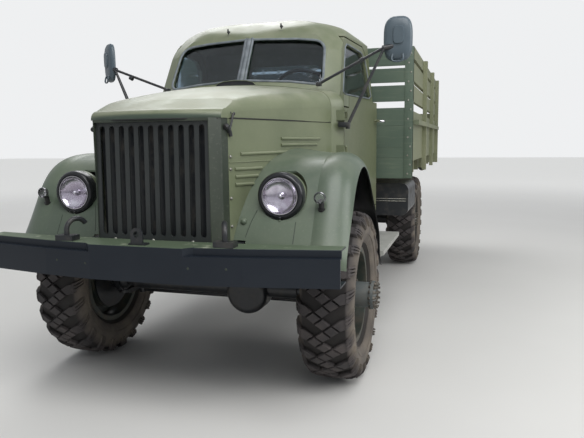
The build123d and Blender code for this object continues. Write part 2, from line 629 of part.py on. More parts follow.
bay_front, bay_rear = SHELL_REAR + SEAT_GAP, COWL_FRONT - SEAT_GAP
slab = along_z([(bay_half(bay_front), bay_front), (bay_half(bay_rear), bay_rear),
                (bay_half(bay_rear) - BAY_SHEET, bay_rear), (bay_half(bay_front) - BAY_SHEET, bay_front)],
               GRILLE_BOTTOM, BELT - SEAT_GAP)
low_curve = [Line((0, bay_front, GRILLE_BOTTOM), (0, bay_front, BELT)), Line((0, bay_front, BELT), (0, bay_rear, BELT)),
             Line((0, bay_rear, BELT), (0, bay_rear, 1200)),
             ThreePointArc((0, bay_rear, 1200), (0, -100, 1150), (0, bay_front + 40, GRILLE_BOTTOM)),
             Line((0, bay_front + 40, GRILLE_BOTTOM), (0, bay_front, GRILLE_BOTTOM))]
side_panel = slab & extrude(make_face(low_curve), 1000, dir=(1, 0, 0))
place("engine_side_panels", side_panel, other_side(side_panel))


# Hood and cowl share this section: a crown arc, two shoulder arcs and short upright sides
def crown_wire(y, half, low, side, crown, shoulder):
    across, rise = half - shoulder, crown - side
    radius = (across ** 2 + rise ** 2 - shoulder ** 2) / (2 * (rise - shoulder))
    centre_z = crown - radius
    reach = radius / (radius - shoulder)
    tx = across * reach
    tz = centre_z + (side - centre_z) * reach
    angle = atan2(tz - side, tx - across)
    mx, mz = across + shoulder * cos(angle / 2), side + shoulder * sin(angle / 2)
    return [Line((half, y, low), (half, y, side)),
            ThreePointArc((half, y, side), (mx, y, mz), (tx, y, tz)),
            ThreePointArc((tx, y, tz), (0, y, crown), (-tx, y, tz)),
            ThreePointArc((-tx, y, tz), (-mx, y, mz), (-half, y, side)),
            Line((-half, y, side), (-half, y, low))]


# Columns: y, half width, top of the upright side, crown height, shoulder radius
HOOD_SECTIONS = [(-660, 346, 1470, 1507, 24), (-420, 392, 1500, 1582, 62), (-60, 494, 1530, 1655, 84),
                 (HOOD_REAR, 650, 1560, COWL_CROWN - 4, COWL_SHOULDER)]


def hood_form(inset):
    """The filled hood, or its inside: lofted sections cut by the round, rolled nose."""
    low = BELT - (1 if inset else 0)
    faces = []
    for y, half, side, crown, shoulder in HOOD_SECTIONS:
        wire = crown_wire(y, half - inset, low, side, crown - inset, shoulder - inset)
        faces.append(make_face(wire + [Line(wire[4] @ 1, wire[0] @ 0)]))
    reach = HOOD_NOSE_RADIUS - inset
    inner = HOOD_NOSE_RADIUS - HOOD_NOSE_ROLL
    top = HOOD_NOSE_LOW + HOOD_NOSE_ROLL - inset
    middle = (HOOD_NOSE_ROLL - inset) * cos(pi / 4)
    edge = [Line((0, 0, BELT - 60), (reach, 0, BELT - 60)), Line((reach, 0, BELT - 60), (reach, 0, HOOD_NOSE_LOW)),
            ThreePointArc((reach, 0, HOOD_NOSE_LOW), (inner + middle, 0, HOOD_NOSE_LOW + middle), (inner, 0, top)),
            Line((inner, 0, top), (0, 0, top + HOOD_NOSE_SLOPE * inner)),
            Line((0, 0, top + HOOD_NOSE_SLOPE * inner), (0, 0, BELT - 60))]
    nose = revolve(make_face(edge), Axis.Z)
    return loft(faces) & (Pos(0, HOOD_FRONT + HOOD_NOSE_RADIUS, 0) * nose)


hood = hood_form(0) - hood_form(HOOD_SHEET)
place("hood", hood)


# Front fender: sections in planes that fan out from above the wheel's centre
# Columns: fan angle from the rear in degrees, inner X, inner radius, crown radius, lip radius
FENDER_SECTIONS = [(160, 368, 552, 545, 500), (148, 372, 578, 566, 514), (128, 398, 628, 614, 536),
                   (110, 436, 690, 702, 610), (92, 498, 738, 718, 650), (74, 566, 764, 722, 604),
                   (56, 636, 705, 634, 548), (36, 718, 650, 618, 555), (16, 726, 668, 660, 602), (-3, 732, 735, 735, 690)]


def fender_section(angle, inner_x, inner_r, crown_r, lip_r):
    turn = radians(angle)
    roll_r = lip_r + 0.74 * (crown_r - lip_r)

    def at(x, r):
        return (x, r * cos(turn), FENDER_FAN_Z + r * sin(turn))

    def curve(step):
        corner = at(FENDER_CROWN_X, crown_r - step)
        rolled = at(FENDER_CROWN_X + 130 - 0.75 * step, roll_r - step)
        return [Line(at(inner_x, inner_r - step), corner),
                ThreePointArc(corner, rolled, at(FENDER_LIP_X - step, lip_r))]

    outside, within = curve(0), curve(FENDER_SHEET)
    ends = [Line(outside[0] @ 0, within[0] @ 0), Line(outside[1] @ 1, within[1] @ 1)]
    return make_face(outside + within + ends)


def cab_half(y):
    """Half width of the cab's lower sides, which widen to the rear."""
    return CAB_FRONT_HALF_WIDTH + (CAB_REAR_HALF_WIDTH - CAB_FRONT_HALF_WIDTH) * (y - DOOR_FRONT) / (CAB_REAR - DOOR_FRONT)


near = cab_half(WINDSCREEN_BASE)
fender = loft([fender_section(*row) for row in FENDER_SECTIONS])
keep_out = [(0, SHELL_REAR - 200), (bay_half(SHELL_REAR) + SEAT_GAP, SHELL_REAR - 200),
            (bay_half(SHELL_REAR) + SEAT_GAP, SHELL_REAR), (bay_half(COWL_FRONT) + SEAT_GAP, COWL_FRONT),
            (near + SEAT_GAP, WINDSCREEN_BASE), (cab_half(900) + SEAT_GAP, 900), (0, 900)]
fender -= along_z(keep_out, 300, 1500)
fender -= box(0, FRAME_HALF_WIDTH + MOVING_GAP, -700, 900, 300, RAIL_TOP + MOVING_GAP)
fender -= rod((HEADLAMP_X, HEADLAMP_Y - 60, HEADLAMP_Z), (HEADLAMP_X, HEADLAMP_Y + HEADLAMP_DEPTH, HEADLAMP_Z),
              HEADLAMP_RADIUS + SEAT_GAP)
place("front_fenders", fender, other_side(fender))

# Headlamps: a bowl through the fender with its rim in front, and the lens in the rim
lamp = rod((HEADLAMP_X, HEADLAMP_Y, HEADLAMP_Z), (HEADLAMP_X, HEADLAMP_Y + RIM_DEPTH, HEADLAMP_Z), HEADLAMP_RADIUS)
bowl = Pos(HEADLAMP_X, HEADLAMP_Y + RIM_DEPTH, HEADLAMP_Z) * Sphere(HEADLAMP_RADIUS)
bowl &= box(HEADLAMP_X - 200, HEADLAMP_X + 200, HEADLAMP_Y + RIM_DEPTH, HEADLAMP_Y + HEADLAMP_DEPTH, HEADLAMP_Z - 200,
            HEADLAMP_Z + 200)
lamp += bowl
lamp -= rod((HEADLAMP_X, HEADLAMP_Y - 1, HEADLAMP_Z), (HEADLAMP_X, HEADLAMP_Y + 34, HEADLAMP_Z), LENS_RADIUS + SEAT_GAP)
lens = rod((HEADLAMP_X, HEADLAMP_Y + 4, HEADLAMP_Z), (HEADLAMP_X, HEADLAMP_Y + 34 - SEAT_GAP, HEADLAMP_Z), LENS_RADIUS)
place("headlamps", lamp, other_side(lamp))
place("headlamp_lenses", lens, other_side(lens))

# Marker lamps: small round lamps on stalks that stand on the front fenders
marker = rod((MARKER_X, MARKER_Y, MARKER_Z), (MARKER_X, MARKER_Y + 40, MARKER_Z), MARKER_RADIUS)
marker += rod((MARKER_X, MARKER_Y + 26, MARKER_Z - 10), (MARKER_X, MARKER_Y + 60, MARKER_Z - 70), 14)
grown_fender = Pos(0, -SEAT_GAP, SEAT_GAP) * fender
marker = max((marker - grown_fender - fender).solids(), key=lambda solid: solid.volume)
place("marker_lamps", marker, other_side(marker))


# Cab form: lower body and tapering greenhouse, each drawn in plan and drawn in by the wall for the inside
def body_plan(wall):
    front, rear = WINDSCREEN_BASE - (5 if wall else 0), CAB_REAR - wall
    outline = Polyline((-cab_half(front) + wall, front, 0), (cab_half(front) - wall, front, 0),
                       (cab_half(rear) - wall, rear, 0), (-cab_half(rear) + wall, rear, 0), close=True)
    face = make_face(outline)
    corners = face.vertices().group_by(Axis.Y)[-1]
    return fillet(corners, CAB_CORNER - wall)


def glass_plan(z, wall):
    rise = z - CAB_BELT
    front, rear = SCREEN_FOOT + SCREEN_LEAN * rise + wall, CAB_REAR - REAR_BELT_STEP / 2 - 0.06 * rise - wall
    draw = TUMBLEHOME * rise + wall
    near_half, far_half = CAB_FRONT_HALF_WIDTH - BELT_STEP - draw, CAB_REAR_HALF_WIDTH - REAR_BELT_STEP - draw
    corner = front + SCREEN_SWEEP * near_half
    face = make_face(Polyline((-near_half, corner, z), (0, front, z), (near_half, corner, z), (far_half, rear, z),
                              (-far_half, rear, z), close=True))
    front_corners = face.vertices().group_by(Axis.Y)[1]
    face = fillet(front_corners, PILLAR_CORNER - wall)
    rear_corners = face.vertices().group_by(Axis.Y)[-1]
    return fillet(rear_corners, CAB_CORNER - wall)


def greenhouse(wall):
    low = CAB_BELT - CAB_WALL - 10 if wall else CAB_BELT - 20
    taper = loft([glass_plan(low, wall), glass_plan(ROOF_TOP + 40, wall)], ruled=True)
    top, edge = ROOF_TOP - wall, ROOF_EDGE - wall
    front_roof = make_face([Line((-900, 0, 1500), (900, 0, 1500)), Line((900, 0, 1500), (900, 0, edge - 330)),
                            ThreePointArc((900, 0, edge - 330), (660, 0, edge - 50), (420, 0, edge + 20)),
                            ThreePointArc((420, 0, edge + 20), (0, 0, top), (-420, 0, edge + 20)),
                            ThreePointArc((-420, 0, edge + 20), (-660, 0, edge - 50), (-900, 0, edge - 330)),
                            Line((-900, 0, edge - 330), (-900, 0, 1500))])
    side_roof = make_face([Line((0, 300, 1500), (0, 1900, 1500)), Line((0, 1900, 1500), (0, 1900, edge - 400)),
                           ThreePointArc((0, 1900, edge - 400), (0, 1610, edge - 60), (0, 1250, top)),
                           ThreePointArc((0, 1250, top), (0, 860, edge - 20), (0, 560, edge - 330)),
                           Line((0, 560, edge - 330), (0, 300, edge - 330)), Line((0, 300, edge - 330), (0, 300, 1500))])
    form = taper & extrude(front_roof, 2400, dir=(0, 1, 0))
    form &= extrude(side_roof, 1000, both=True, dir=(1, 0, 0))
    crest = ROOF_TOP + 40 - wall
    low_r, mid_r, top_r = (reach - wall for reach in ROOF_TURN_RADII)
    corner_low, corner_mid = ROOF_TURN_LOW - wall / 2, ROOF_EDGE - 30 - wall / 2
    corner_line = make_face([Line((0, 0, 1400), (low_r + 250, 0, 1400)), Line((low_r + 250, 0, 1400), (low_r, 0, corner_low)),
                             ThreePointArc((low_r, 0, corner_low), (mid_r, 0, corner_mid), (top_r, 0, crest)),
                             Line((top_r, 0, crest), (0, 0, crest)), Line((0, 0, crest), (0, 0, 1400))])
    return form & (Pos(0, ROOF_TURN_Y, 0) * revolve(corner_line, Axis.Z))


lower_body = extrude(body_plan(0), CAB_BELT - CAB_BOTTOM, dir=(0, 0, 1))
lower_body = Pos(0, 0, CAB_BOTTOM) * lower_body
lower_inside = extrude(body_plan(CAB_WALL), CAB_BELT - CAB_BOTTOM - CAB_WALL + 10, dir=(0, 0, 1))
lower_inside = Pos(0, 0, CAB_BOTTOM - 10) * lower_inside
glasshouse, glasshouse_inside = greenhouse(0), greenhouse(CAB_WALL)
cab_shell = (lower_body + glasshouse) - lower_inside - glasshouse_inside
tongue_rear = WINDSCREEN_BASE + TONGUE_REACH
cab_shell -= box(-TONGUE_HALF - MOVING_GAP, TONGUE_HALF + MOVING_GAP, 400, tongue_rear + MOVING_GAP,
                 CAB_BOTTOM - 10, CAB_BELT + 1)


def screen_y(z):
    """Y of the windscreen's foremost line at a height."""
    return SCREEN_FOOT + SCREEN_LEAN * (z - CAB_BELT)


# The cowl carries the hood's section on to the windscreen
def cowl_face(y, half, grow):
    wire = crown_wire(y, half + grow, BELT, COWL_SIDE + grow, COWL_CROWN + grow, COWL_SHOULDER + grow)
    return make_face(wire + [Line((-half - grow, y, BELT), (half + grow, y, BELT))])


def cowl_top(grow, rear):
    return loft([cowl_face(COWL_FRONT, BAY_REAR_HALF_WIDTH, grow), cowl_face(rear, near, grow)])


cowl_plan = [(-BAY_REAR_HALF_WIDTH, COWL_FRONT), (BAY_REAR_HALF_WIDTH, COWL_FRONT), (near, WINDSCREEN_BASE),
             (-near, WINDSCREEN_BASE)]
cowl = cowl_top(0, WINDSCREEN_BASE) + along_z(cowl_plan, CAB_BOTTOM, BELT)
tongue_zone = box(-TONGUE_HALF, TONGUE_HALF, WINDSCREEN_BASE - 5, WINDSCREEN_BASE, BELT, 1900)
tongue_face = (cowl_top(0, WINDSCREEN_BASE) & tongue_zone).faces().sort_by(Axis.Y)[-1]
cowl += extrude(tongue_face, TONGUE_REACH)
cowl_hollow = [(-BAY_REAR_HALF_WIDTH + COWL_WALL, COWL_FRONT + COWL_WALL), (BAY_REAR_HALF_WIDTH - COWL_WALL, COWL_FRONT + COWL_WALL),
               (near - CAB_WALL, WINDSCREEN_BASE), (near - CAB_WALL, WINDSCREEN_BASE + 200),
               (-near + CAB_WALL, WINDSCREEN_BASE + 200), (-near + CAB_WALL, WINDSCREEN_BASE)]
cowl -= along_z(cowl_hollow, CAB_BOTTOM - 1, COWL_SIDE - 1)
inner_half = BAY_REAR_HALF_WIDTH - COWL_WALL
inner_face = make_face(crown_wire(COWL_FRONT + COWL_WALL, inner_half, COWL_SIDE - 20, COWL_SIDE - 10, COWL_CROWN - COWL_WALL, COWL_SHOULDER - 20)
                       + [Line((-inner_half, COWL_FRONT + COWL_WALL, COWL_SIDE - 20), (inner_half, COWL_FRONT + COWL_WALL, COWL_SIDE - 20))])
cowl -= extrude(inner_face, 300, dir=(0, 1, 0))
frame_space = box(-FRAME_HALF_WIDTH - 5, FRAME_HALF_WIDTH + 5, 300, 1800, 500, RAIL_TOP + 5)
cowl -= frame_space
cowl -= rod((-CAB_REAR_HALF_WIDTH, FRONT_AXLE_Y, WHEEL_RADIUS), (CAB_REAR_HALF_WIDTH, FRONT_AXLE_Y, WHEEL_RADIUS), ARCH_RADIUS)

# Panels: the shell is cut where the real ones meet
upper = box(-1000, 1000, 300, 2000, ROOF_SEAM, 2400)
place("cab_roof", cab_shell & upper)
pillar_low, pillar_high = screen_y(CAB_BELT) + PILLAR_DEPTH, screen_y(DOOR_TOP) + PILLAR_DEPTH
pillar_foot = CAB_BELT - PILLAR_FOOT
screen_zone = along_x([(300, pillar_foot), (pillar_low, pillar_foot), (pillar_low, CAB_BELT),
                       (screen_y(ROOF_SEAM) + PILLAR_DEPTH, ROOF_SEAM), (300, ROOF_SEAM)], -1000, 1000)
cowl_space = cowl_top(SEAT_GAP, WINDSCREEN_BASE)
space_face = (cowl_space & box(-TONGUE_HALF - SEAT_GAP, TONGUE_HALF + SEAT_GAP, WINDSCREEN_BASE - 5, WINDSCREEN_BASE, BELT, 1900))
cowl_space += extrude(space_face.faces().sort_by(Axis.Y)[-1], TONGUE_REACH + 300)
cowl_space += along_z(cowl_plan, CAB_BOTTOM, BELT)

panes = []
for side in (-1, 1):
    outline = [(side * x, z) for x, z in PANE_OUTLINE]
    panes.append(along_y(outline, 400, 1000))
screen_frame = (cab_shell & screen_zone) - cowl_space
for pane in panes:
    screen_frame -= pane
place("cab_windscreen_frame", screen_frame)

rear_zone = box(-REAR_PANEL_HALF, REAR_PANEL_HALF, CAB_REAR - 200, CAB_REAR + 50, CAB_BOTTOM - 10, ROOF_SEAM)
rear_window = box(-310, 310, CAB_REAR - 300, CAB_REAR + 100, 1715, 1965)
rear_window = fillet(rear_window.edges().filter_by(Axis.Y), 60)
place("cab_rear_wall", (cab_shell & rear_zone) - rear_window - frame_space)

glass_slice = greenhouse(GLASS_DEPTH) - greenhouse(GLASS_DEPTH + GLASS_SHEET)
fixed_glass = [(glass_slice & pane & screen_zone) for pane in panes] + [glass_slice & rear_window]
place("cab_windows", *fixed_glass)

# Doors: cut out of the side, with their lower front corner following the fender
left_half = box(0, 1000, WINDSCREEN_BASE + SEAT_GAP, 2000, CAB_BOTTOM - 10, ROOF_SEAM)
side_shell = (cab_shell & left_half) - screen_zone - rear_zone - along_z(cowl_plan, CAB_BOTTOM, CAB_BELT)
door_outline = [(DOOR_FRONT, DOOR_CUT_HIGH), (DOOR_FRONT, pillar_foot - DOOR_GAP), (pillar_low + DOOR_GAP, pillar_foot - DOOR_GAP),
                (pillar_low + DOOR_GAP, CAB_BELT), (pillar_high + DOOR_GAP, DOOR_TOP), (1340, DOOR_TOP - 14), (1450, 1950),
                (DOOR_REAR, CAB_BELT), (DOOR_REAR, DOOR_BOTTOM), (DOOR_CUT_REAR, DOOR_BOTTOM)]
door_face = make_face(Polyline(*[(0, y, z) for y, z in door_outline], close=True))
leaf_zone = Pos(DOOR_INNER, 0, 0) * extrude(door_face, 400, dir=(1, 0, 0))
hole_face = offset(door_face, amount=DOOR_GAP, kind=Kind.INTERSECTION)
hole_zone = Pos(DOOR_INNER, 0, 0) * extrude(hole_face, 400, dir=(1, 0, 0))
window_zone = along_x(DOOR_WINDOW, 300, 1000)
left_frame = side_shell - hole_zone
place("cab_sides", left_frame, other_side(left_frame))
left_door = ((cab_shell & leaf_zone) - screen_zone) - window_zone
handle_x, handle_y = cab_half(DOOR_REAR - 60), DOOR_REAR - 50
left_door += rod((handle_x - 20, handle_y, HANDLE_Z), (handle_x + 40, handle_y, HANDLE_Z), 9)
left_door += rod((handle_x + 36, handle_y - 100, HANDLE_Z), (handle_x + 36, handle_y + 12, HANDLE_Z), 9)
hinge_x, hinge_y = near + HINGE_OUT, WINDSCREEN_BASE + 2
body_hinges = []
for z in HINGE_HEIGHTS:
    lug = rod((hinge_x, hinge_y, z - 22), (hinge_x, hinge_y, z + 22), HINGE_PIN_RADIUS)
    for low in (z - 32, z + 20 + SEAT_GAP):
        ear = box(near - 40, hinge_x + 7, hinge_y - 45, hinge_y, low, low + 12 - SEAT_GAP)
        ear += rod((hinge_x, hinge_y, low), (hinge_x, hinge_y, low + 12 - SEAT_GAP), HINGE_PIN_RADIUS + 5)
        lug += ear
    lug += box(near - 40, hinge_x - 1, hinge_y - 45, hinge_y - 12, z - 32, z + 32)
    lug -= along_z([(0, WINDSCREEN_BASE), (near + SEAT_GAP, WINDSCREEN_BASE), (cab_half(900) + SEAT_GAP, 900), (0, 900)],
                   z - 60, z + 60)
    body_hinges.append(lug)
    left_door += rod((hinge_x, hinge_y, z - 20), (hinge_x, hinge_y, z + 20), HINGE_PIN_RADIUS + 5)
    left_door += box(near - 2, hinge_x + 4, hinge_y, DOOR_FRONT + 60, z - 19, z + 19) & box(near - 2, 800, 0, 900, z - 19, z + 19)
    left_door -= rod((hinge_x, hinge_y, z - 25), (hinge_x, hinge_y, z + 25), HINGE_PIN_RADIUS + RUNNING_CLEARANCE)
for lug in body_hinges:
    cowl += [lug, other_side(lug)]
place("cab_cowl", cowl)
place("door_left", left_door)
place("door_right", other_side(left_door))
door_glass = glass_slice & window_zone
place("door_glass_left", door_glass)
place("door_glass_right", other_side(door_glass))

# Floor, seat, dashboard, steering column and wheel
floor_front, floor_rear = COWL_FRONT + COWL_WALL, CAB_REAR - CAB_WALL
floor_plan = [(-BAY_REAR_HALF_WIDTH + COWL_WALL + 4, floor_front), (BAY_REAR_HALF_WIDTH - COWL_WALL - 4, floor_front),
              (cab_half(DOOR_FRONT) - CAB_WALL - 6, DOOR_FRONT), (cab_half(floor_rear) - CAB_WALL - 6, floor_rear - 90),
              (cab_half(floor_rear) - CAB_WALL - 90, floor_rear), (-cab_half(floor_rear) + CAB_WALL + 90, floor_rear),
              (-cab_half(floor_rear) + CAB_WALL + 6, floor_rear - 90), (-cab_half(DOOR_FRONT) + CAB_WALL + 6, DOOR_FRONT)]
floor = along_z(floor_plan, FLOOR_TOP - FLOOR_SHEET, FLOOR_TOP)
for side in (-1, 1):
    for y in (700, 1450):
        floor += box(side * (FRAME_HALF_WIDTH - 60), side * (FRAME_HALF_WIDTH - 5), y - 40, y + 40, RAIL_TOP, FLOOR_TOP - FLOOR_SHEET)
place("cab_floor", floor)

cushion_low = SEAT_TOP - 150
cushion = fillet(box(-600, 600, SEAT_FRONT, SEAT_REAR - 100 - SEAT_GAP, cushion_low, SEAT_TOP).edges(), 28)
base = box(-570, 570, SEAT_FRONT + 40, SEAT_REAR, FLOOR_TOP, cushion_low - SEAT_GAP)
backrest = fillet(box(-600, 600, SEAT_REAR - 100, SEAT_REAR, cushion_low, SEAT_TOP + 400).edges(), 28)
place("bench_seat", cushion, backrest, base)

dashboard = extrude(cowl_face(tongue_rear, near, -8), DASH_DEPTH, dir=(0, 1, 0))
dashboard &= box(-DASH_HALF, DASH_HALF, tongue_rear - 1, tongue_rear + DASH_DEPTH + 1, BELT, 1900)
place("dashboard", dashboard)

lean = radians(STEERING_LEAN)
wheel_centre = Vector(STEERING_X, STEERING_Y, STEERING_Z)
axis_up = Vector(0, sin(lean), cos(lean))
foot_y = COWL_FRONT + COWL_WALL + SEAT_GAP + 24 * cos(lean)
foot = wheel_centre - axis_up * ((STEERING_Y - foot_y) / sin(lean))
column_top = wheel_centre - axis_up * 36
column = rod(foot, column_top, 24) + rod(column_top, (wheel_centre + axis_up * 4), 10)
place("steering_column", column)

wheel_plane = Plane(origin=wheel_centre, x_dir=(1, 0, 0), z_dir=axis_up)
rim = wheel_plane * Torus(STEERING_RADIUS, 13)
hub = rod((wheel_centre - axis_up * 30), (wheel_centre + axis_up * 18), 38)
steering_wheel = rim + hub
for index in range(3):
    turn = 2 * pi * index / 3 + pi / 2
    end = wheel_plane.from_local_coords(Vector(STEERING_RADIUS * cos(turn), STEERING_RADIUS * sin(turn), 0))
    steering_wheel += rod(wheel_centre, end, 8)
steering_wheel -= rod((wheel_centre - axis_up * 31), (wheel_centre + axis_up * 8), 10 + RUNNING_CLEARANCE)
place("steering_wheel", steering_wheel)

# Mirrors: rounded heads, each on two rods from a bracket under the upper hinge and one from the cowl's top
mirror_high = HINGE_HEIGHTS[1] - 44
mirror_low = mirror_high - 34
cowl_edge = [(0, COWL_FRONT), (BAY_REAR_HALF_WIDTH + SEAT_GAP, COWL_FRONT), (near + SEAT_GAP, WINDSCREEN_BASE), (0, WINDSCREEN_BASE)]


def mirror_set(x, z, turn):
    """A head on the vehicle's left, turned outward by an angle in degrees, with its arms."""
    bracket = box(near - 60, near + 46, COWL_FRONT + 5, hinge_y - 6, mirror_low, mirror_high)
    bracket -= along_z(cowl_edge, mirror_low - 10, mirror_high + 10)
    clamp_x, clamp_y = MIRROR_CLAMP
    clamp = box(clamp_x - 16, clamp_x + 16, clamp_y - 20, clamp_y + 20, BELT, COWL_CROWN + 8) - cowl_space
    head = extrude(Plane.XZ * RectangleRounded(MIRROR_WIDTH, MIRROR_HEIGHT, MIRROR_CORNER), MIRROR_DEPTH / 2, both=True)
    head = Pos(x, MIRROR_Y, z) * Rot(0, 0, turn) * head
    reach = MIRROR_WIDTH / 2 - 30
    neck = (x - reach * cos(radians(turn)), MIRROR_Y - reach * sin(radians(turn)), z - 52)
    joint = (x - 78, MIRROR_Y - 36 - 30 * sin(radians(turn)), z - 52)
    arms = Pos(*joint) * Sphere(20) + rod(joint, neck, 14)
    for y in (COWL_FRONT + 30, hinge_y - 16):
        arms += rod((near + 32, y, (mirror_low + mirror_high) / 2), joint, 8)
    arms += rod((clamp_x, clamp_y, COWL_CROWN - 6), joint, 8)
    return bracket + clamp + arms + head


place("mirrors", mirror_set(*LEFT_MIRROR), other_side(mirror_set(*RIGHT_MIRROR)))

# Running boards on brackets from the frame
boards = []
for side in (-1, 1):
    board = box(side * BOARD_INNER, side * BOARD_OUTER, BOARD_FRONT, BOARD_REAR, BOARD_TOP - 30, BOARD_TOP)
    for y in (BOARD_FRONT + 160, BOARD_REAR - 160):
        board += along_x([(y - 20, BOARD_TOP - 70), (y - 20, BOARD_TOP - 30), (y + 20, BOARD_TOP - 30), (y + 20, BOARD_TOP - 70)],
                         side * (FRAME_HALF_WIDTH + 40), side * (BOARD_OUTER - 40))
        board += box(side * (FRAME_HALF_WIDTH + SEAT_GAP), side * (FRAME_HALF_WIDTH + 40), y - 20, y + 20, BOARD_TOP - 70, rail_bottom + 90)
    boards.append(board)
place("running_boards", *boards)

# Fuel tank on the left, on two brackets
tank = box(TANK_INNER, TANK_OUTER, TANK_FRONT, TANK_REAR, TANK_LOW, TANK_HIGH)
tank = fillet(tank.edges().filter_by(Axis.Y), 60)
for y in (TANK_FRONT + 120, TANK_REAR - 120):
    tank += box(FRAME_HALF_WIDTH + SEAT_GAP, TANK_INNER + 60, y - 25, y + 25, RAIL_TOP - 110, RAIL_TOP - 20)
place("fuel_tank", tank)

# Cargo bed: bearers, floor, slatted sides and front wall, tailgate
bearer_low = BED_FLOOR_TOP - BED_FLOOR_SHEET - CROSS_BEARER
bearers = None
bed_inside = BED_HALF_WIDTH - BED_WALL
last_bearer = BED_REAR - BED_WALL - MOVING_GAP
for side in (-1, 1):
    sill = box(side * (FRAME_HALF_WIDTH - RAIL_FLANGE), side * FRAME_HALF_WIDTH, BED_FRONT + BED_WALL, last_bearer, RAIL_TOP, bearer_low)
    bearers = sill if bearers is None else bearers + sill
first_bearer = BED_FRONT + BED_WALL
for index in range(BEARER_COUNT):
    y = first_bearer + index * (last_bearer - BEARER_WIDTH - first_bearer) / (BEARER_COUNT - 1)
    bearers += box(-bed_inside, bed_inside, y, y + BEARER_WIDTH, bearer_low, bearer_low + CROSS_BEARER)
bed_floor = box(-BED_HALF_WIDTH + BED_WALL, BED_HALF_WIDTH - BED_WALL, BED_FRONT + BED_WALL, BED_REAR - BED_WALL - MOVING_GAP,
                BED_FLOOR_TOP - BED_FLOOR_SHEET, BED_FLOOR_TOP)
place("bed_floor", bed_floor)

# Columns: low and high edge of each board, of the front wall and then of a side
FRONT_BOARDS = [(1036, 1610), (1662, 1789), (1814, 1925), (1947, 2092)]
SIDE_BOARDS = [(1179, 1581), (1657, 1789), (1822, 1968), (2000, 2092)]
front_wall = None
for low, high in FRONT_BOARDS:
    board = box(-BED_HALF_WIDTH, BED_HALF_WIDTH, BED_FRONT, BED_FRONT + BED_WALL - 12, low, high)
    front_wall = board if front_wall is None else front_wall + board
for x in (-BED_HALF_WIDTH + 32, -640, 640, BED_HALF_WIDTH - 32):
    front_wall += box(x - 32, x + 32, BED_FRONT + BED_WALL - 12, BED_FRONT + BED_WALL, FRONT_BOARDS[0][0], BED_TOP)
place("bed_front_wall", front_wall)

side_wall = None
for low, high in SIDE_BOARDS:
    board = box(BED_HALF_WIDTH - BED_WALL + 12, BED_HALF_WIDTH, BED_FRONT + BED_WALL, BED_REAR, low, high)
    side_wall = board if side_wall is None else side_wall + board
for y in BED_POSTS:
    side_wall += box(BED_HALF_WIDTH, BED_HALF_WIDTH + POST_DEPTH, y - 38, y + 38, POST_LOW, BED_TOP)
side_wall += box(BED_HALF_WIDTH - 30, BED_HALF_WIDTH + POST_DEPTH, BED_REAR - 76, BED_REAR, POST_LOW, BED_TOP)
side_wall += box(BED_HALF_WIDTH, BED_HALF_WIDTH + LEDGE_DEPTH, BED_FRONT + BED_WALL, BED_REAR, 1475, 1513)
place("bed_sides", side_wall, other_side(side_wall))

gate_half = BED_HALF_WIDTH - 30 - MOVING_GAP
gate_y, gate_z = BED_REAR + GATE_HINGE_OUT, BED_FLOOR_TOP - BED_FLOOR_SHEET - 30
gate_front = BED_REAR - BED_WALL
tailgate = box(-gate_half, gate_half, gate_front, BED_REAR, BED_FLOOR_TOP + MOVING_GAP, 1500)
tailgate += box(-gate_half, gate_half, gate_front, BED_REAR, 1540, 1680)
for x in GATE_HINGES:
    tailgate += box(x - 30, x + 30, BED_REAR, BED_REAR + 10, gate_z, 1680)
    tailgate += rod((x - 30, gate_y, gate_z), (x + 30, gate_y, gate_z), GATE_BARREL_RADIUS)
    tailgate -= rod((x - 31, gate_y, gate_z), (x + 31, gate_y, gate_z), GATE_PIN_RADIUS + RUNNING_CLEARANCE)
place("tailgate", tailgate)

for x in GATE_HINGES:
    bearers += box(x - 54, x + 54, last_bearer, last_bearer + 12, gate_z - 14, gate_z + 14)
    for low in (x - 54, x + 38):
        bearers += box(low, low + 16, last_bearer, gate_y, gate_z - 14, gate_z + 14)
        bearers += rod((low, gate_y, gate_z), (low + 16, gate_y, gate_z), 14)
    bearers += rod((x - 46, gate_y, gate_z), (x + 46, gate_y, gate_z), GATE_PIN_RADIUS)
place("bed_bearers", bearers)

tail_lamp = rod((TAIL_LAMP_X, last_bearer + 12, TAIL_LAMP_Z), (TAIL_LAMP_X, BED_REAR, TAIL_LAMP_Z), 50)
tail_lamp += box(TAIL_LAMP_X - 20, TAIL_LAMP_X + 20, last_bearer, last_bearer + 14, TAIL_LAMP_Z - 20, bearer_low + 60)
place("tail_lamps", tail_lamp, other_side(tail_lamp))
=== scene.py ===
import math

import bmesh
import bpy
from mathutils import Matrix, Vector


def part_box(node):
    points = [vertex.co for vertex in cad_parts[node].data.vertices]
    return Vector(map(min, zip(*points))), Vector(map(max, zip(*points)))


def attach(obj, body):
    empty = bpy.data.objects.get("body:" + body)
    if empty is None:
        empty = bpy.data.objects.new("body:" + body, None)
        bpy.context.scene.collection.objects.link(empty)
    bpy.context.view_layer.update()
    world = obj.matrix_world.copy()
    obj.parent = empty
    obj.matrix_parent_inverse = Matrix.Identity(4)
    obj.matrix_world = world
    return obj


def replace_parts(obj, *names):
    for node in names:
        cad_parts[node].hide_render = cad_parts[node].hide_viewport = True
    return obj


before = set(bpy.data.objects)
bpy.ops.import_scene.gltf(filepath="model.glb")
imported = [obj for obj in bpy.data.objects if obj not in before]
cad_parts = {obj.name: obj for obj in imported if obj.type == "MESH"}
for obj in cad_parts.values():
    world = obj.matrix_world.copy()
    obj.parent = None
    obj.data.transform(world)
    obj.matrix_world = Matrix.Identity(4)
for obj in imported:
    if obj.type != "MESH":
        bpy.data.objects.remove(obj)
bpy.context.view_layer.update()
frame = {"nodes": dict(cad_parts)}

scene, nodes = bpy.context.scene, frame["nodes"]
FULL_TURN = 2 * math.pi


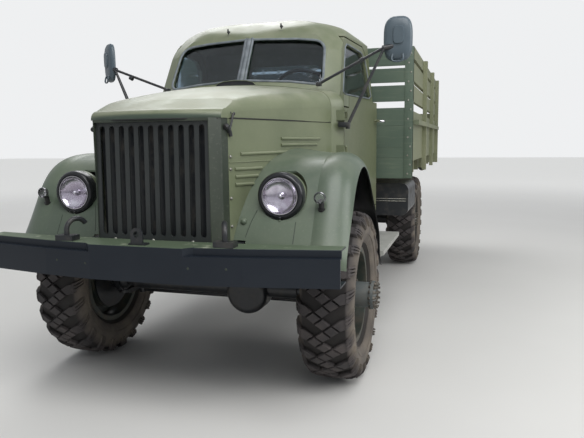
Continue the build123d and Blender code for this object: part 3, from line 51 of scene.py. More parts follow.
# Studio: a pale floor, which pales further into an even surround, and three plain soft lamps.
# The camera stands where the photographer stood, worked out from the wheels, bumper and bed.
EYE = Vector((1.501, -5.1115, 1.352))
YAW, PITCH, ROLL = (math.radians(angle) for angle in (17.13, 7.63, 0.64))
LENS_MM, SENSOR_MM, FARTHEST = 35.91, 36, 200
FLOOR_HALF = 40
# Where the floor pales, in metres
PALING = (3.5, 15)
GLOSSY_SHARE, GLASS_SHARE = 0.35, 0.25

ahead = Vector((-math.sin(YAW) * math.cos(PITCH), math.cos(YAW) * math.cos(PITCH), -math.sin(PITCH)))
level = Vector((math.cos(YAW), math.sin(YAW), 0))
down = ahead.cross(level)
across = level * math.cos(ROLL) + down * math.sin(ROLL)
below = down * math.cos(ROLL) - level * math.sin(ROLL)
camera = bpy.data.objects.new("camera", bpy.data.cameras.new("camera"))
scene.collection.objects.link(camera)
camera.matrix_world = Matrix.Translation(EYE) @ Matrix((across, -below, -ahead)).transposed().to_4x4()
camera.data.sensor_width = SENSOR_MM
camera.data.lens = LENS_MM
camera.data.clip_end = FARTHEST
scene.camera = camera
scene.view_settings.view_transform = "Standard"


class Wire:
    """A socket in a node tree; sums and products of wires add their own Math nodes."""

    def __init__(self, tree, socket=None):
        self.tree = tree
        self.socket = socket

    def node(self, kind, settings, links, out=0):
        made = self.tree.nodes.new("ShaderNode" + kind)
        for name, value in settings.items():
            setattr(made, name, value)
        for name, value in links.items():
            if isinstance(value, Wire):
                self.tree.links.new(value.socket, made.inputs[name])
            else:
                made.inputs[name].default_value = value
        return Wire(self.tree, made.outputs[out])

    def maths(self, operation, *values):
        return self.node("Math", {"operation": operation}, dict(enumerate((self, *values))))

    def __add__(self, other):
        return self.maths("ADD", other)

    __radd__ = __add__

    def __sub__(self, other):
        return self.maths("SUBTRACT", other)

    def __rsub__(self, other):
        return self.node("Math", {"operation": "SUBTRACT"}, {0: other, 1: self})

    def __mul__(self, other):
        return self.maths("MULTIPLY", other)

    __rmul__ = __mul__

    def __abs__(self):
        return self.maths("ABSOLUTE")

    def part(self, axis):
        """One of a vector's X, Y and Z."""
        return self.node("SeparateXYZ", {}, {0: self}, out="XYZ".index(axis))

    def rise(self, low, high):
        """0 below low, 1 above high and smooth between."""
        return self.node("MapRange", {"interpolation_type": "SMOOTHSTEP"},
                         {"Value": self, "From Min": low, "From Max": high})

    def tint(self, low, high):
        """The colour low where this is 0 and high where it is 1."""
        low, high = (colour if isinstance(colour, Wire) else (*colour, 1) for colour in (low, high))
        return self.node("Mix", {"data_type": "RGBA"}, {0: self, 6: low, 7: high}, out=2)

    def bump(self, strength, depth):
        """A normal that is bent as if this were a height."""
        return self.node("Bump", {}, {"Strength": strength, "Distance": depth, "Height": self})

    def spot(self):
        """The surface's point in the frame's metres."""
        return self.node("TexCoord", {}, {}, out="Object")

    def facing(self):
        """The direction in which the surface faces."""
        return self.node("NewGeometry", {}, {}, out="Normal")

    def noise(self, scale, detail=4, spot=None):
        """Cloudy noise over the frame's metres."""
        return self.node("TexNoise", {}, {"Vector": spot or self.spot(), "Scale": scale, "Detail": detail,
                                          "Roughness": 0.55})


def finish(name, draw, **fixed):
    """A material: draw gives what varies over the surface, and fixed holds what doesn't."""
    made = bpy.data.materials.new(name)
    made.use_nodes = True
    shader = made.node_tree.nodes["Principled BSDF"]
    for socket, value in fixed.items():
        shader.inputs[socket.replace("_", " ")].default_value = value
    for socket, wire in draw(Wire(made.node_tree)).items():
        made.node_tree.links.new(wire.socket, shader.inputs[socket])
    return made


def floor_paint(wire):
    cloud = wire.noise(0.6, 3)
    away = wire.node("VectorMath", {"operation": "LENGTH"}, {0: wire.spot()}, out=1)
    backdrop = away.rise(*PALING) * wire.node("LightPath", {}, {}, out="Is Camera Ray")
    return {"Base Color": cloud.tint((0.66, 0.65, 0.62), (0.74, 0.73, 0.70)),
            "Roughness": cloud * 0.2 + 0.6,
            "Emission Color": backdrop.tint((0, 0, 0), (0.42, 0.42, 0.41))}


floor_mesh = bpy.data.meshes.new("studio_floor")
floor_mesh.from_pydata([(x * FLOOR_HALF, y * FLOOR_HALF, 0) for x, y in ((-1, -1), (1, -1), (1, 1), (-1, 1))],
                       [], [(0, 1, 2, 3)])
floor = bpy.data.objects.new("studio_floor", floor_mesh)
scene.collection.objects.link(floor)
floor_mesh.materials.append(finish("studio_floor", floor_paint, Emission_Strength=1))

world = bpy.data.worlds.new("studio")
scene.world = world
world.use_nodes = True
sky = world.node_tree.nodes["Background"]
air = Wire(world.node_tree)
# The surround is pale to the camera, dimmer in gloss and through glass, and a soft grey as light
seen, mirrored, through = (air.node("LightPath", {}, {}, out="Is " + kind + " Ray")
                           for kind in ("Camera", "Glossy", "Transmission"))
pale = (seen + mirrored * GLOSSY_SHARE + through * GLASS_SHARE).maths("MINIMUM", 1)
world.node_tree.links.new(pale.tint((0.33, 0.345, 0.37), (0.86, 0.87, 0.88)).socket, sky.inputs["Color"])
sky.inputs["Strength"].default_value = 1

# Columns: name, place, point it faces, size, watts
for name, place, aim, size, watts in (("lamp_over", (2.5, -5, 6.5), (0, -1.5, 1), 5, 340),
                                      ("lamp_left", (7, -2, 4), (0, -0.5, 1), 4, 185),
                                      ("lamp_back", (-3, 4, 7), (0, 0, 1), 5, 290)):
    lamp = bpy.data.objects.new(name, bpy.data.lights.new(name, "AREA"))
    lamp.data.size = size
    lamp.data.energy = watts
    lamp.location = place
    lamp.rotation_euler = (Vector(aim) - Vector(place)).to_track_quat("-Z", "Y").to_euler()
    scene.collection.objects.link(lamp)


# Cab, hood and nose: pressed steel panels, welded and bolted, sprayed with one satin sage green.
# The coat has uneven patches, orange peel and settled dust. Painted shade makes it darker on the
# cab's sides, and darker and bluer on the hood's forward-facing rolled lip and the radiator shell.
SAGE = ((0.145, 0.168, 0.098), (0.182, 0.205, 0.124))
SIDE_SHADE_GREEN = ((0.112, 0.128, 0.068), (0.138, 0.152, 0.084))
SHELL_SHADE_GREEN = ((0.032, 0.042, 0.030), (0.044, 0.054, 0.037))
LIP_SHADE_GREEN = (0.048, 0.070, 0.050)
DUST = 0.35


def green_coat(tones, dust):
    def draw(wire):
        patches = wire.noise(2.2, 5).rise(0.35, 0.68)
        specks = wire.noise(60, 3).rise(0.55, 0.75)
        settled = wire.facing().part("Z").rise(0.2, 0.95) * wire.noise(9, 6).rise(0.3, 0.7) * dust
        coat = (specks * 0.10).tint(patches.tint(*tones), (0.30, 0.31, 0.25))
        return {"Base Color": settled.tint(coat, (0.36, 0.35, 0.28)),
                "Roughness": patches * 0.08 + settled * 0.35 + wire.noise(25) * 0.08 + 0.28,
                "Normal": wire.noise(320, 2).bump(0.10, 0.0006)}
    return draw


# Painted shade: where the hood's rolled lip faces forward it takes a darker, bluer green.
def nose_coat_with_lip_shade(wire):
    look = green_coat(SAGE, DUST)(wire)
    lip = (0 - wire.facing().part("Y")).rise(0.80, 0.97)
    look["Base Color"] = lip.tint(look["Base Color"], LIP_SHADE_GREEN)
    return look


def paint(names, material):
    for node in names:
        nodes[node].data.materials[0] = material


sage = finish("sage_cab_paint", green_coat(SAGE, DUST))
paint(("engine_side_panels", "cab_roof", "cab_windscreen_frame", "cab_cowl"), sage)
paint(("hood",), finish("sage_hood_paint_lip_shade", nose_coat_with_lip_shade))
# Painted shade: the cab's sides, rear wall, floor and dashboard take a darker sage than the hood.
paint(("cab_rear_wall", "cab_sides", "door_left", "door_right", "cab_floor", "dashboard"),
      finish("sage_side_paint_shaded", green_coat(SIDE_SHADE_GREEN, DUST)))
# Painted shade: the forward-facing radiator shell takes a much darker green.
paint(("radiator_shell",), finish("sage_shell_paint_shaded", green_coat(SHELL_SHADE_GREEN, 0.1)))


# Front fenders: deep arches welded from a crown and an apron, whose joints show as fine lines.
# The coat is bluer and older outside, and near-black on the faces inside the arches that turn toward
# the wheel. A round-headed bolt holds each apron, and a small one sits under the headlamp.
FENDER_GREEN = ((0.088, 0.118, 0.084), (0.112, 0.145, 0.098))
ARCH_INSIDE_BLACK = (0.012, 0.013, 0.014)
JOINT_RADIUS = 0.0018
# The wheels' places in metres: the axles' height, the middle and half of the wheelbase, half the track
AXLE_Z, BASE_MIDDLE, BASE_HALF, TRACK_HALF = 0.4785, -0.2425, 1.65, 0.805
# Millimetre places count y from ZERO_Y, in metres, and the front axle lies AXLE_MM behind it
AXLE_MM, ZERO_Y = 70, -1.9625


def fender_coat(wire):
    spot, facing_to = wire.spot(), wire.facing()
    away, above = spot.part("Y") - (BASE_MIDDLE - BASE_HALF), spot.part("Z") - AXLE_Z
    outward = away * facing_to.part("Y") + above * facing_to.part("Z")
    look = green_coat(FENDER_GREEN, 0.15)(wire)
    look["Base Color"] = outward.rise(-0.22, -0.12).tint(ARCH_INSIDE_BLACK, look["Base Color"])
    return look


def mottled(name, low, high, grain, rough, detail=4, sharp=None, relief=None, **fixed):
    """A material of two tones. grain: scale of the patches. rough: scale, span and base of the
    roughness. sharp: the marks of a harder border. relief: scale, strength and depth of a bump."""
    def draw(wire):
        patches = wire.noise(grain, detail)
        patches = patches.rise(*sharp) if sharp else patches
        look = {"Base Color": patches.tint(low, high),
                "Roughness": wire.noise(rough[0]) * rough[1] + rough[2]}
        if relief:
            look["Normal"] = wire.noise(relief[0]).bump(*relief[1:])
        return look
    return finish(name, draw, **fixed)


def at(x, y, z):
    """A point given in millimetres, with y counted from 70 mm ahead of the front axle."""
    return Vector((x / 1000, y / 1000 + ZERO_Y, z / 1000))


class Stock:
    """Points and faces of one piece, gathered from simple forms."""

    def __init__(self):
        self.points = []
        self.faces = []

    def add(self, form, place=Matrix.Identity(4)):
        start = len(self.points)
        self.points += [place @ Vector(point) for point in form[0]]
        self.faces += [[start + index for index in face] for face in form[1]]

    def both(self, form, place=Matrix.Identity(4)):
        """The form on the vehicle's left and its reflection on the right."""
        self.add(form, place)
        self.add(form, Matrix.Scale(-1, 4, (1, 0, 0)) @ place)

    def piece(self, name, slot, material, crease=38, soft=0, body="chassis"):
        """The object, with edges sharper than crease degrees kept, and soft levels of rounding."""
        mesh = bpy.data.meshes.new(name)
        mesh.from_pydata(self.points, [], self.faces)
        shape = bmesh.new()
        shape.from_mesh(mesh)
        bmesh.ops.recalc_face_normals(shape, faces=shape.faces)
        for face in shape.faces:
            face.smooth = True
        for edge in shape.edges:
            if len(edge.link_faces) == 2:
                edge.smooth = edge.calc_face_angle(0) < math.radians(crease)
        shape.to_mesh(mesh)
        shape.free()
        mesh.materials.append(material)
        made = bpy.data.objects.new(name, mesh)
        scene.collection.objects.link(made)
        if soft:
            rounding = made.modifiers.new("rounding", "SUBSURF")
            rounding.levels = rounding.render_levels = soft
        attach(made, body)
        return made


def net(rows, columns, round_rows=False, round_columns=True, capped=False, start=0):
    """The faces of rows of points, which may close on themselves either way or have both ends filled."""
    faces = []
    for row in range(rows if round_rows else rows - 1):
        here, there = start + row * columns, start + (row + 1) % rows * columns
        for index in range(columns if round_columns else columns - 1):
            after = (index + 1) % columns
            faces.append([here + index, here + after, there + after, there + index])
    if capped:
        faces += [list(range(columns))[::-1], list(range((rows - 1) * columns, rows * columns))]
    return faces


def around(x, radius, turn):
    """A point at a turn about the X axis."""
    return Vector((x, radius * math.cos(turn), radius * math.sin(turn)))


def lathe(profile, steps, closed=False):
    """A form turned about the X axis from (x, radius) points; closed joins the last to the first."""
    count = len(profile)
    points = [around(x, radius, FULL_TURN * step / steps) for step in range(steps) for x, radius in profile]
    faces = net(steps, count, True, closed)
    if not closed:
        starts = range(0, steps * count, count)
        faces += [list(starts), [start + count - 1 for start in starts][::-1]]
    return points, faces


def aimed(place, direction, spin=0):
    """A matrix that carries the X axis to a direction at a place."""
    aim = Vector(direction).to_track_quat("X", "Z").to_matrix().to_4x4()
    return Matrix.Translation(place) @ aim @ Matrix.Rotation(spin, 4, "X")


def tube(path, radius, sides, looped=False, flat=1):
    """A round or flattened bar along a path."""
    points = []
    count = len(path)
    up = Vector((0, 0, 1))
    for index, here in enumerate(path):
        ahead_of = path[(index + 1) % count] if looped or index < count - 1 else here
        behind = path[index - 1] if looped or index else here
        along = (ahead_of - behind).normalized()
        if index == 0 and abs(along.dot(up)) > 0.9:
            up = Vector((0, 1, 0))
        side = along.cross(up).normalized()
        up = side.cross(along).normalized()
        for step in range(sides):
            turn = FULL_TURN * step / sides
            points.append(here + side * radius * math.cos(turn) + up * radius * flat * math.sin(turn))
    return points, net(count, sides, looped, capped=not looped)


def dome(radius, height):
    """A round-headed bolt that stands out along X from the surface it holds."""
    return lathe([(-0.002, radius), (height * 0.35, radius), (height * 0.75, radius * 0.75),
                  (height, radius * 0.3)], 14)


def from_ahead(node, x, z):
    """The point of a node's sheet that a line from straight ahead meets, and its direction there."""
    hit, place, normal, _ = nodes[node].ray_cast(at(x, -2000, z), Vector((0, 1, 0)))
    return (place, normal) if hit else None


fender_paint = finish("sage_fender_paint", fender_coat)
paint(("front_fenders",), fender_paint)
seam_shadow = mottled("fender_seam_shadow", (0.022, 0.030, 0.022), (0.040, 0.052, 0.038), 40,
                      (60, 0.2, 0.5))
seams, fender_bolts = Stock(), Stock()
for side in (-1, 1):
    # Columns: x and z of the points of one joint between the fender's sheets
    for joint in (((682, 956), (682, 920), (682, 885), (682, 855)),
                  ((436, 880), (444, 915), (455, 955), (476, 1010))):
        met = [from_ahead("front_fenders", side * x, z) for x, z in joint]
        seams.add(tube([found[0] for found in met if found], JOINT_RADIUS, 6))
    # Columns: x and z of a bolt, radius and height of its head in metres
    for x, z, radius, height in ((415, 953, 0.017, 0.016), (600, 960, 0.006, 0.005)):
        fender_bolts.add(dome(radius, height), aimed(*from_ahead("front_fenders", side * x, z)))
seams.piece("fender_seams", "cab_paint", seam_shadow, 60)
fender_bolts.piece("fender_bolts", "cab_paint", fender_paint, 60)


# Cab roof: one deep steel pressing whose broad folds run soft into each other, welded to the screen
# frame, the sides and the rear wall. Its sections are laid over the plain roof and then eased.
ROOF_TURNS, ROOF_RINGS, ROOF_SAMPLES, ROOF_SEAT = 180, 44, 70, 2.075
EASE_ALONG, EASE_AROUND = 8, 3


def spread(line, count):
    """Points evenly spaced along a line of (reach, height) points."""
    runs = [0]
    for (r0, z0), (r1, z1) in zip(line, line[1:]):
        runs.append(runs[-1] + math.hypot(r1 - r0, z1 - z0))
    even, index = [], 0
    for step in range(count):
        run = runs[-1] * step / (count - 1)
        while index < len(runs) - 2 and runs[index + 1] < run:
            index += 1
        share = (run - runs[index]) / max(runs[index + 1] - runs[index], 1e-9)
        even.append(tuple(a + (b - a) * min(share, 1) for a, b in zip(line[index], line[index + 1])))
    return even


def eased(before, here, after):
    """The point moved half way to the middle of its neighbours."""
    return tuple((a + 2 * b + c) / 4 for a, b, c in zip(before, here, after))


def roof_sections(roof, middle):
    """Sections from the seat to the middle of the roof, all the way round, eased both ways."""
    sections = []
    for step in range(ROOF_TURNS):
        turn = FULL_TURN * step / ROOF_TURNS
        out = Vector((math.cos(turn), math.sin(turn), 0))
        wall = roof.ray_cast(middle + out * 3 + Vector((0, 0, ROOF_SEAT + 0.0015)), -out)[1]
        reach = (wall - middle).to_2d().length
        line = [(reach, ROOF_SEAT)]
        for sample in range(1, ROOF_SAMPLES + 1):
            along = reach * (1 - (sample / ROOF_SAMPLES) ** 1.7)
            over = middle + out * along + Vector((0, 0, 3))
            line.append((along, roof.ray_cast(over, Vector((0, 0, -1)))[1].z))
        sections.append(spread(line, ROOF_RINGS))
    for _ in range(EASE_ALONG):
        sections = [[line[0], *(eased(*line[ring - 1:ring + 2]) for ring in range(1, ROOF_RINGS - 1)),
                     line[-1]] for line in sections]
    for _ in range(EASE_AROUND):
        after = sections[1:] + sections[:1]
        sections = [[line[0], *(eased(sections[step - 1][ring], line[ring], after[step][ring])
                                for ring in range(1, ROOF_RINGS))] for step, line in enumerate(sections)]
    return sections


roof_middle = at(0, 1250, 0)
sections = roof_sections(nodes["cab_roof"], roof_middle)
points, faces = [], []
# Columns: how far the sheet's face lies inside the outer face, and how far below
for inset, sink in ((0, 0), (0.030, 0.022)):
    for step, line in enumerate(sections):
        turn = FULL_TURN * step / ROOF_TURNS
        for ring, (reach, height) in enumerate(line):
            along = max(reach - inset, 0)
            points.append(roof_middle + Vector((math.cos(turn) * along, math.sin(turn) * along,
                                                height - (sink if ring else 0))))
layer = ROOF_TURNS * ROOF_RINGS
for quad in net(ROOF_TURNS, ROOF_RINGS, True, False):
    faces += [quad, [layer + index for index in quad[::-1]]]
for here in range(0, layer, ROOF_RINGS):
    there = (here + ROOF_RINGS) % layer
    faces.append([here, here + layer, there + layer, there])
roof_form = Stock()
roof_form.add((points, faces))
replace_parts(roof_form.piece("roof_skin", "cab_paint", sage, 60), "cab_roof")


# Bay sides: flat steel panels that open out toward the cab, with pressed ribs and a lapped seam.
# Thin black strips along the hood's edges are painted shadow of its gap and rolled lip. Zinc-plated
# round bolts hold the panels to the radiator shell.
# Millimetres: the front edge's x, the widening to the rear edge, the front edge's y, the length
BAY_X, BAY_WIDENS, BAY_Y, BAY_LENGTH = 367, 283, -512, 987
NOSE_Y, NOSE_RADIUS = -640, 976


def bay_x(y):
    """How far from the middle the panel's face lies, in millimetres."""
    return BAY_X + BAY_WIDENS * (y - BAY_Y) / BAY_LENGTH


ribs = Stock()
# Columns: y and z of the rear end, y and z of the front end
for y0, z0, y1, z1 in ((333, 1364, -71, 1366), (297, 1330, -72, 1331), (262, 1292, -421, 1290),
                       (-249, 1213, -467, 1216), (-285, 1175, -464, 1178), (-320, 1135, -466, 1140)):
    ribs.both(tube([at(bay_x(y0 + (y1 - y0) * share), y0 + (y1 - y0) * share, z0 + (z1 - z0) * share)
                    for share in (0, 0.03, 0.1, 0.5, 0.9, 0.97, 1)], 0.009, 10))
ribs.both(tube([at(bay_x(y) + 1, y, 1251 - 4 * (y + 513) / 881) for y in (-508, -200, 100, 368)], 0.003, 6))
ribs.piece("panel_ribs", "cab_paint", sage, 60)

# Painted shadow: thin black strips along the hood's side edges and under its rolled front lip.
gap_shadow_strips = Stock()
gap_shadow_strips.both(tube([at(bay_x(y) + 0.5, y, 1466) for y in (-500, -300, 0, 300, 464)], 0.0035, 8))
gap_shadow_strips.add(tube([at(x, NOSE_Y + NOSE_RADIUS - math.sqrt(NOSE_RADIUS ** 2 - x * x) + 1, 1463)
               for x in range(-345, 346, 30)], 0.004, 8))
gap_shadow_strips.piece("hood_gap_shadow", "chassis_paint",
           mottled("hood_gap_shadow_black", (0.006, 0.006, 0.007), (0.016, 0.016, 0.016), 40, (60, 0.2, 0.6)), 60)

bolt_steel = mottled("zinc_bolts", (0.30, 0.30, 0.27), (0.16, 0.15, 0.12), 90, (120, 0.3, 0.25),
                     sharp=(0.4, 0.7), Metallic=0.8)
BAY_FACING = (0.96, -0.27, 0)
heads = Stock()
for z in (1279, 1217, 1074, 934):
    heads.both(dome(0.0085, 0.007), aimed(at(bay_x(-499) + 1, -499, z), BAY_FACING))
for x in (-217, 0, 217):
    heads.add(dome(0.009, 0.008), aimed(at(x, -620, 869), (0, -1, 0)))
heads.piece("panel_bolts", "chassis_paint", bolt_steel)


# Hood catches: black forged levers on the bay sides, each with a toggle and a wire link that
# hooks into an eye on the hood's edge and pulls it down.
def black_coat(wire):
    dirt = wire.noise(16, 6).rise(0.45, 0.8)
    return {"Base Color": dirt.tint((0.018, 0.020, 0.023), (0.055, 0.050, 0.044)),
            "Roughness": dirt * 0.3 + 0.34, "Normal": wire.noise(130, 5).bump(0.2, 0.001)}


def smooth_path(points, cuts, looped=False):
    """Points on a curve through the given points."""
    count = len(points)
    path = []
    for index in range(count if looped else count - 1):
        beside = [index + step if looped else min(max(index + step, 0), count - 1) for step in (-1, 0, 1, 2)]
        a, b, c, d = (Vector(points[near % count]) for near in beside)
        for cut in range(cuts):
            t = cut / cuts
            path.append(0.5 * ((2 * b) + (c - a) * t + (2 * a - 5 * b + 4 * c - d) * t * t
                               + (3 * b - a - 3 * c + d) * t ** 3))
    return path if looped else path + [Vector(points[-1])]


def block(low, high, edge):
    """A block with bevelled edges between two corners."""
    shape = bmesh.new()
    bmesh.ops.create_cube(shape, size=1)
    size = Vector(high) - Vector(low)
    middle = (Vector(high) + Vector(low)) / 2
    for vertex in shape.verts:
        vertex.co = vertex.co * size + middle
    bmesh.ops.bevel(shape, geom=shape.edges[:], offset=edge, segments=2, affect="EDGES", profile=0.6)
    points = [tuple(vertex.co) for vertex in shape.verts]
    faces = [[vertex.index for vertex in face.verts] for face in shape.faces]
    shape.free()
    return points, faces


chassis_black = finish("chassis_black", black_coat)
catches = Stock()
catches.both(tube([at(386, -484, 1488), at(384, -498, 1450), at(378, -512, 1412)], 0.0055, 8))
for x, y, z in ((368, -488, 1492), (378, -462, 1488)):
    catches.both(dome(0.009, 0.010), aimed(at(x, y, z), BAY_FACING))
catches.both(tube(smooth_path([at(372, -540, 1424), at(374, -520, 1414), at(378, -506, 1398),
                               at(378, -500, 1378)], 4), 0.009, 8))
catches.both(block(at(360, -514, 1392), at(376, -488, 1424), 0.003))
catches.both(tube([at(368, -548, 1420), at(374, -530, 1428)], 0.013, 10))
catches.piece("hood_catches", "chassis_paint", chassis_black)


# Tyres: cross-country tyres of dusty brown-black rubber. Two families of diamond blocks are braided
# at the middle and rise to thick shoulder lugs, whose three ridges run on down the side.
TYRE_R, LUGS, LUG_DEEP = 0.4785, 22, 0.026
# The lattice of the blocks: half a pitch of the bars, and how far a bar moves out as it climbs half a block
STEP_TURN = math.pi / LUGS
STEP_X = 0.0457
# The share of the lattice's cell that a block fills, which leaves 8 mm between blocks
FILLED = 0.85
SHOULDER_X = 0.130
# The crown is flat to a distance from the middle, then falls with the square of what is past it
CROWN_FLAT, CROWN_FALL, CROWN_INSIDE = 0.062, 4.2, 0.0015
# Columns: name, side, y of the axle in millimetres, the tyre's turn in radians
CORNERS = (("front_left", 1, AXLE_MM, 0.1), ("front_right", -1, AXLE_MM, 0.5),
           ("rear_left", 1, 3370, 1), ("rear_right", -1, 3370, 2))


def from_axle(wire):
    """Distance from the nearest axle's line."""
    away = abs(wire.spot().part("Y") - BASE_MIDDLE) - BASE_HALF
    above = wire.spot().part("Z") - AXLE_Z
    return (away * away + above * above).maths("SQRT")


def tyre_rubber(wire):
    reach = from_axle(wire)
    side = 1 - reach.rise(0.40, 0.455)
    off_middle = abs(abs(wire.spot().part("X")) - TRACK_HALF)
    groove_shade = (1 - reach.rise(0.456, 0.468)) * (1 - off_middle.rise(0.108, 0.122))
    dusty = wire.noise(7, 6).rise(0.35, 0.75)
    worn = wire.noise(45, 4).rise(0.3, 0.75)
    colour = dusty.tint((0.034, 0.030, 0.031), (0.092, 0.078, 0.074))
    colour = (worn * 0.35).tint(colour, (0.060, 0.052, 0.050))
    colour = (side * (dusty * 0.45 + 0.35)).tint(colour, (0.210, 0.178, 0.138))
    # Painted shade: the carcass between the blocks is near-black, as shade in the tread's grooves.
    return {"Base Color": (groove_shade * 0.9).tint(colour, (0.012, 0.010, 0.009)),
            "Roughness": dusty * 0.12 + 0.72, "Normal": wire.noise(240, 4).bump(0.35, 0.0012)}


def crown_at(x):
    """Radius at the lug tips at a distance from the tyre's middle."""
    past = max(abs(x) - CROWN_FLAT, 0)
    return TYRE_R - CROWN_INSIDE - past * past * CROWN_FALL


def bent_block(corners):
    """A lug from its (x, turn) corners, with its top on the crown."""
    count = len(corners)
    centre_x = sum(x for x, turn in corners) / count
    centre_t = sum(turn for x, turn in corners) / count
    points = []
    # Columns: how far below the crown, share of the full size
    for lower, grow in ((LUG_DEEP, 1.05), (0.0035, 1), (0, 0.90)):
        for x, turn in corners:
            wide_x = centre_x + (x - centre_x) * grow
            points.append(around(wide_x, crown_at(wide_x) - lower, centre_t + (turn - centre_t) * grow))
    return points, net(3, count, capped=True)


def side_ridge(side, start, wide):
    """One ridge of a shoulder lug, from the tread's edge down the side of the tyre."""
    points = []
    # Columns: x, radius, turn from the start, share of the full width
    for x, radius, turn, grow in ((0.120, 0.4655, 0, 1), (0.139, 0.449, 0.020, 1),
                                  (0.1515, 0.418, 0.055, 0.9), (0.1505, 0.388, 0.088, 0.65)):
        for deep, edge in ((0.018, 1.15), (0, 0.80)):
            for sign in (-1, 1):
                angle = start - turn + sign * wide * grow * edge
                reach = radius - deep * (0.7 if radius > 0.44 else 0)
                points.append(around(side * (x - deep * (0.4 if radius > 0.46 else 0.9)), reach, angle))
    faces = []
    for a in (0, 4, 8):
        b = a + 4
        faces += [[a, a + 2, b + 2, b], [a + 2, a + 3, b + 3, b + 2], [a + 3, a + 1, b + 1, b + 3]]
    return points, faces + [[0, 1, 3, 2], [12, 14, 15, 13]]


def tyre_form():
    carcass = [(-0.0882, 0.2565), (-0.0885, 0.279), (-0.104, 0.288), (-0.128, 0.318), (-0.1425, 0.355),
               (-0.1425, 0.392), (-0.131, 0.424), (-0.112, 0.443), (-0.06, 0.4535), (0, 0.4555)]
    carcass += [(-x, r) for x, r in carcass[-2::-1]]
    stock = Stock()
    stock.add(lathe(carcass, 144, True))
    # Columns: x and radius of a moulded ring on the side
    for x, ring in ((0.114, 0.300), (0.1385, 0.345)):
        for side in (-1, 1):
            stock.add(lathe([(side * (x + out), ring + up) for out, up in (
                (-0.002, -0.004), (0.0035, -0.002), (0.0035, 0.002), (-0.002, 0.004))], 96, True))
    half_x, half_t = STEP_X * FILLED, STEP_TURN / 2 * FILLED
    for side in (-1, 1):
        for lug in range(LUGS):
            start = 2 * lug * STEP_TURN + (STEP_TURN if side > 0 else 0)
            for step in (0, 1, 2):
                x, turn = step * STEP_X, start - step * STEP_TURN / 2
                corners = [(x - half_x, turn), (x, turn - half_t), (x + half_x, turn), (x, turn + half_t)]
                if step == 2:
                    corners[2:3] = [(SHOULDER_X, turn - half_t * 1.35), (SHOULDER_X, turn + half_t * 0.60)]
                stock.add(bent_block([(side * px, pt) for px, pt in corners]))
            for rib in (-1, 0, 1):
                stock.add(side_ridge(side, turn - half_t * 0.42 + rib * half_t * 0.68, half_t * 0.27))
    return stock.points, stock.faces


rubber = finish("dusty_tyre_rubber", tyre_rubber)
one_tyre = tyre_form()
for corner, side, y, turn in CORNERS:
    stock = Stock()
    centre = at(side * TRACK_HALF * 1000, y, AXLE_Z * 1000)
    stock.add(one_tyre, Matrix.Translation(centre) @ Matrix.Rotation(turn, 4, "X"))
    tyre = stock.piece("tyre_" + corner + "_tread", "tyre", rubber, 32, body="wheel_" + corner)
    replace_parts(tyre, "tyre_" + corner)


# Wheels: pressed discs in dark grey-green paint on a long, paler hub, with a ring of studs and nuts
# on the hub's outer flange and wheel nuts round the disc. Road dust sits in every corner.
FLANGE_FRONT, FLANGE_REAR, FLANGE_THICK = 0.190, 0.122, 0.016


def wheel_paint(wire):
    grime = wire.noise(14, 6).rise(0.35, 0.7)
    hub = abs(wire.spot().part("X")).rise(0.864, 0.868) * (1 - from_axle(wire).rise(0.100, 0.108))
    colour = hub.tint(grime.tint((0.040, 0.052, 0.044), (0.100, 0.090, 0.070)),
                      grime.tint((0.090, 0.108, 0.110), (0.135, 0.140, 0.130)))
    return {"Base Color": colour, "Roughness": grime * 0.3 + 0.4,
            "Normal": wire.noise(150).bump(0.2, 0.0008)}


def hexagon(radius, height):
    """A six-sided bolt head or nut that stands out along X."""
    return lathe([(-0.002, radius), (height * 0.85, radius), (height, radius * 0.86)], 6)


wheel_coat = finish("wheel_paint", wheel_paint)
nut_steel = mottled("hub_nuts", (0.16, 0.15, 0.13), (0.07, 0.055, 0.04), 60, (80, 0.3, 0.35),
                    sharp=(0.4, 0.65), Metallic=0.6)
for corner, side, y, _ in CORNERS:
    paint(("wheel_" + corner,), wheel_coat)
    nuts = Stock()
    centre = at(side * TRACK_HALF * 1000, y, AXLE_Z * 1000)
    flange = FLANGE_FRONT if y == AXLE_MM else FLANGE_REAR
    for index in range(14):
        turn = FULL_TURN * index / 14
        outer = centre + around(side * flange, 0.0675, turn)
        inner = centre + around(side * (flange - FLANGE_THICK), 0.0735, turn)
        nuts.add(hexagon(0.0105, 0.013), aimed(outer, (side, 0, 0), turn))
        nuts.add(lathe([(0, 0.0065), (0.022, 0.0065), (0.023, 0.005)], 10), aimed(outer, (side, 0, 0)))
        nuts.add(hexagon(0.0095, 0.010), aimed(inner, (-side, 0, 0), turn))
    for index in range(6):
        turn = FULL_TURN * (index + 0.5) / 6
        place = centre + around(side * 0.0445, 0.111, turn)
        nuts.add(hexagon(0.017, 0.018), aimed(place, (side, 0, 0), turn))
        nuts.add(lathe([(0, 0.009), (0.026, 0.009), (0.028, 0.007)], 10), aimed(place, (side, 0, 0)))
    nuts.piece("wheel_nuts_" + corner, "wheel_paint", nut_steel, body="wheel_" + corner)


# Bumper: a folded steel channel, blue-black on its faces, with the cab's green scuffed on the flat
# top. Four small dark domes on its face are painted shade in the holes for the bolts that hold it to the
# frame.
BUMPER_TOP = 0.868


def bumper_coat(wire):
    on_top = wire.spot().part("Z").rise(BUMPER_TOP, BUMPER_TOP + 0.0035)
    green = wire.facing().part("Z").rise(0.6, 0.8) * on_top
    scuffs = wire.noise(11, 8).rise(0.56, 0.70)
    face = wire.noise(5, 6).tint((0.008, 0.012, 0.019), (0.015, 0.020, 0.028))
    top = scuffs.tint((0.085, 0.115, 0.072), (0.30, 0.33, 0.24))
    return {"Base Color": green.tint(face, top), "Roughness": green * 0.25 + wire.noise(30) * 0.12 + 0.30,
            "Normal": wire.noise(180).bump(0.12, 0.0008)}


paint(("front_bumper",), finish("bumper_paint", bumper_coat, Specular_IOR_Level=0.3))
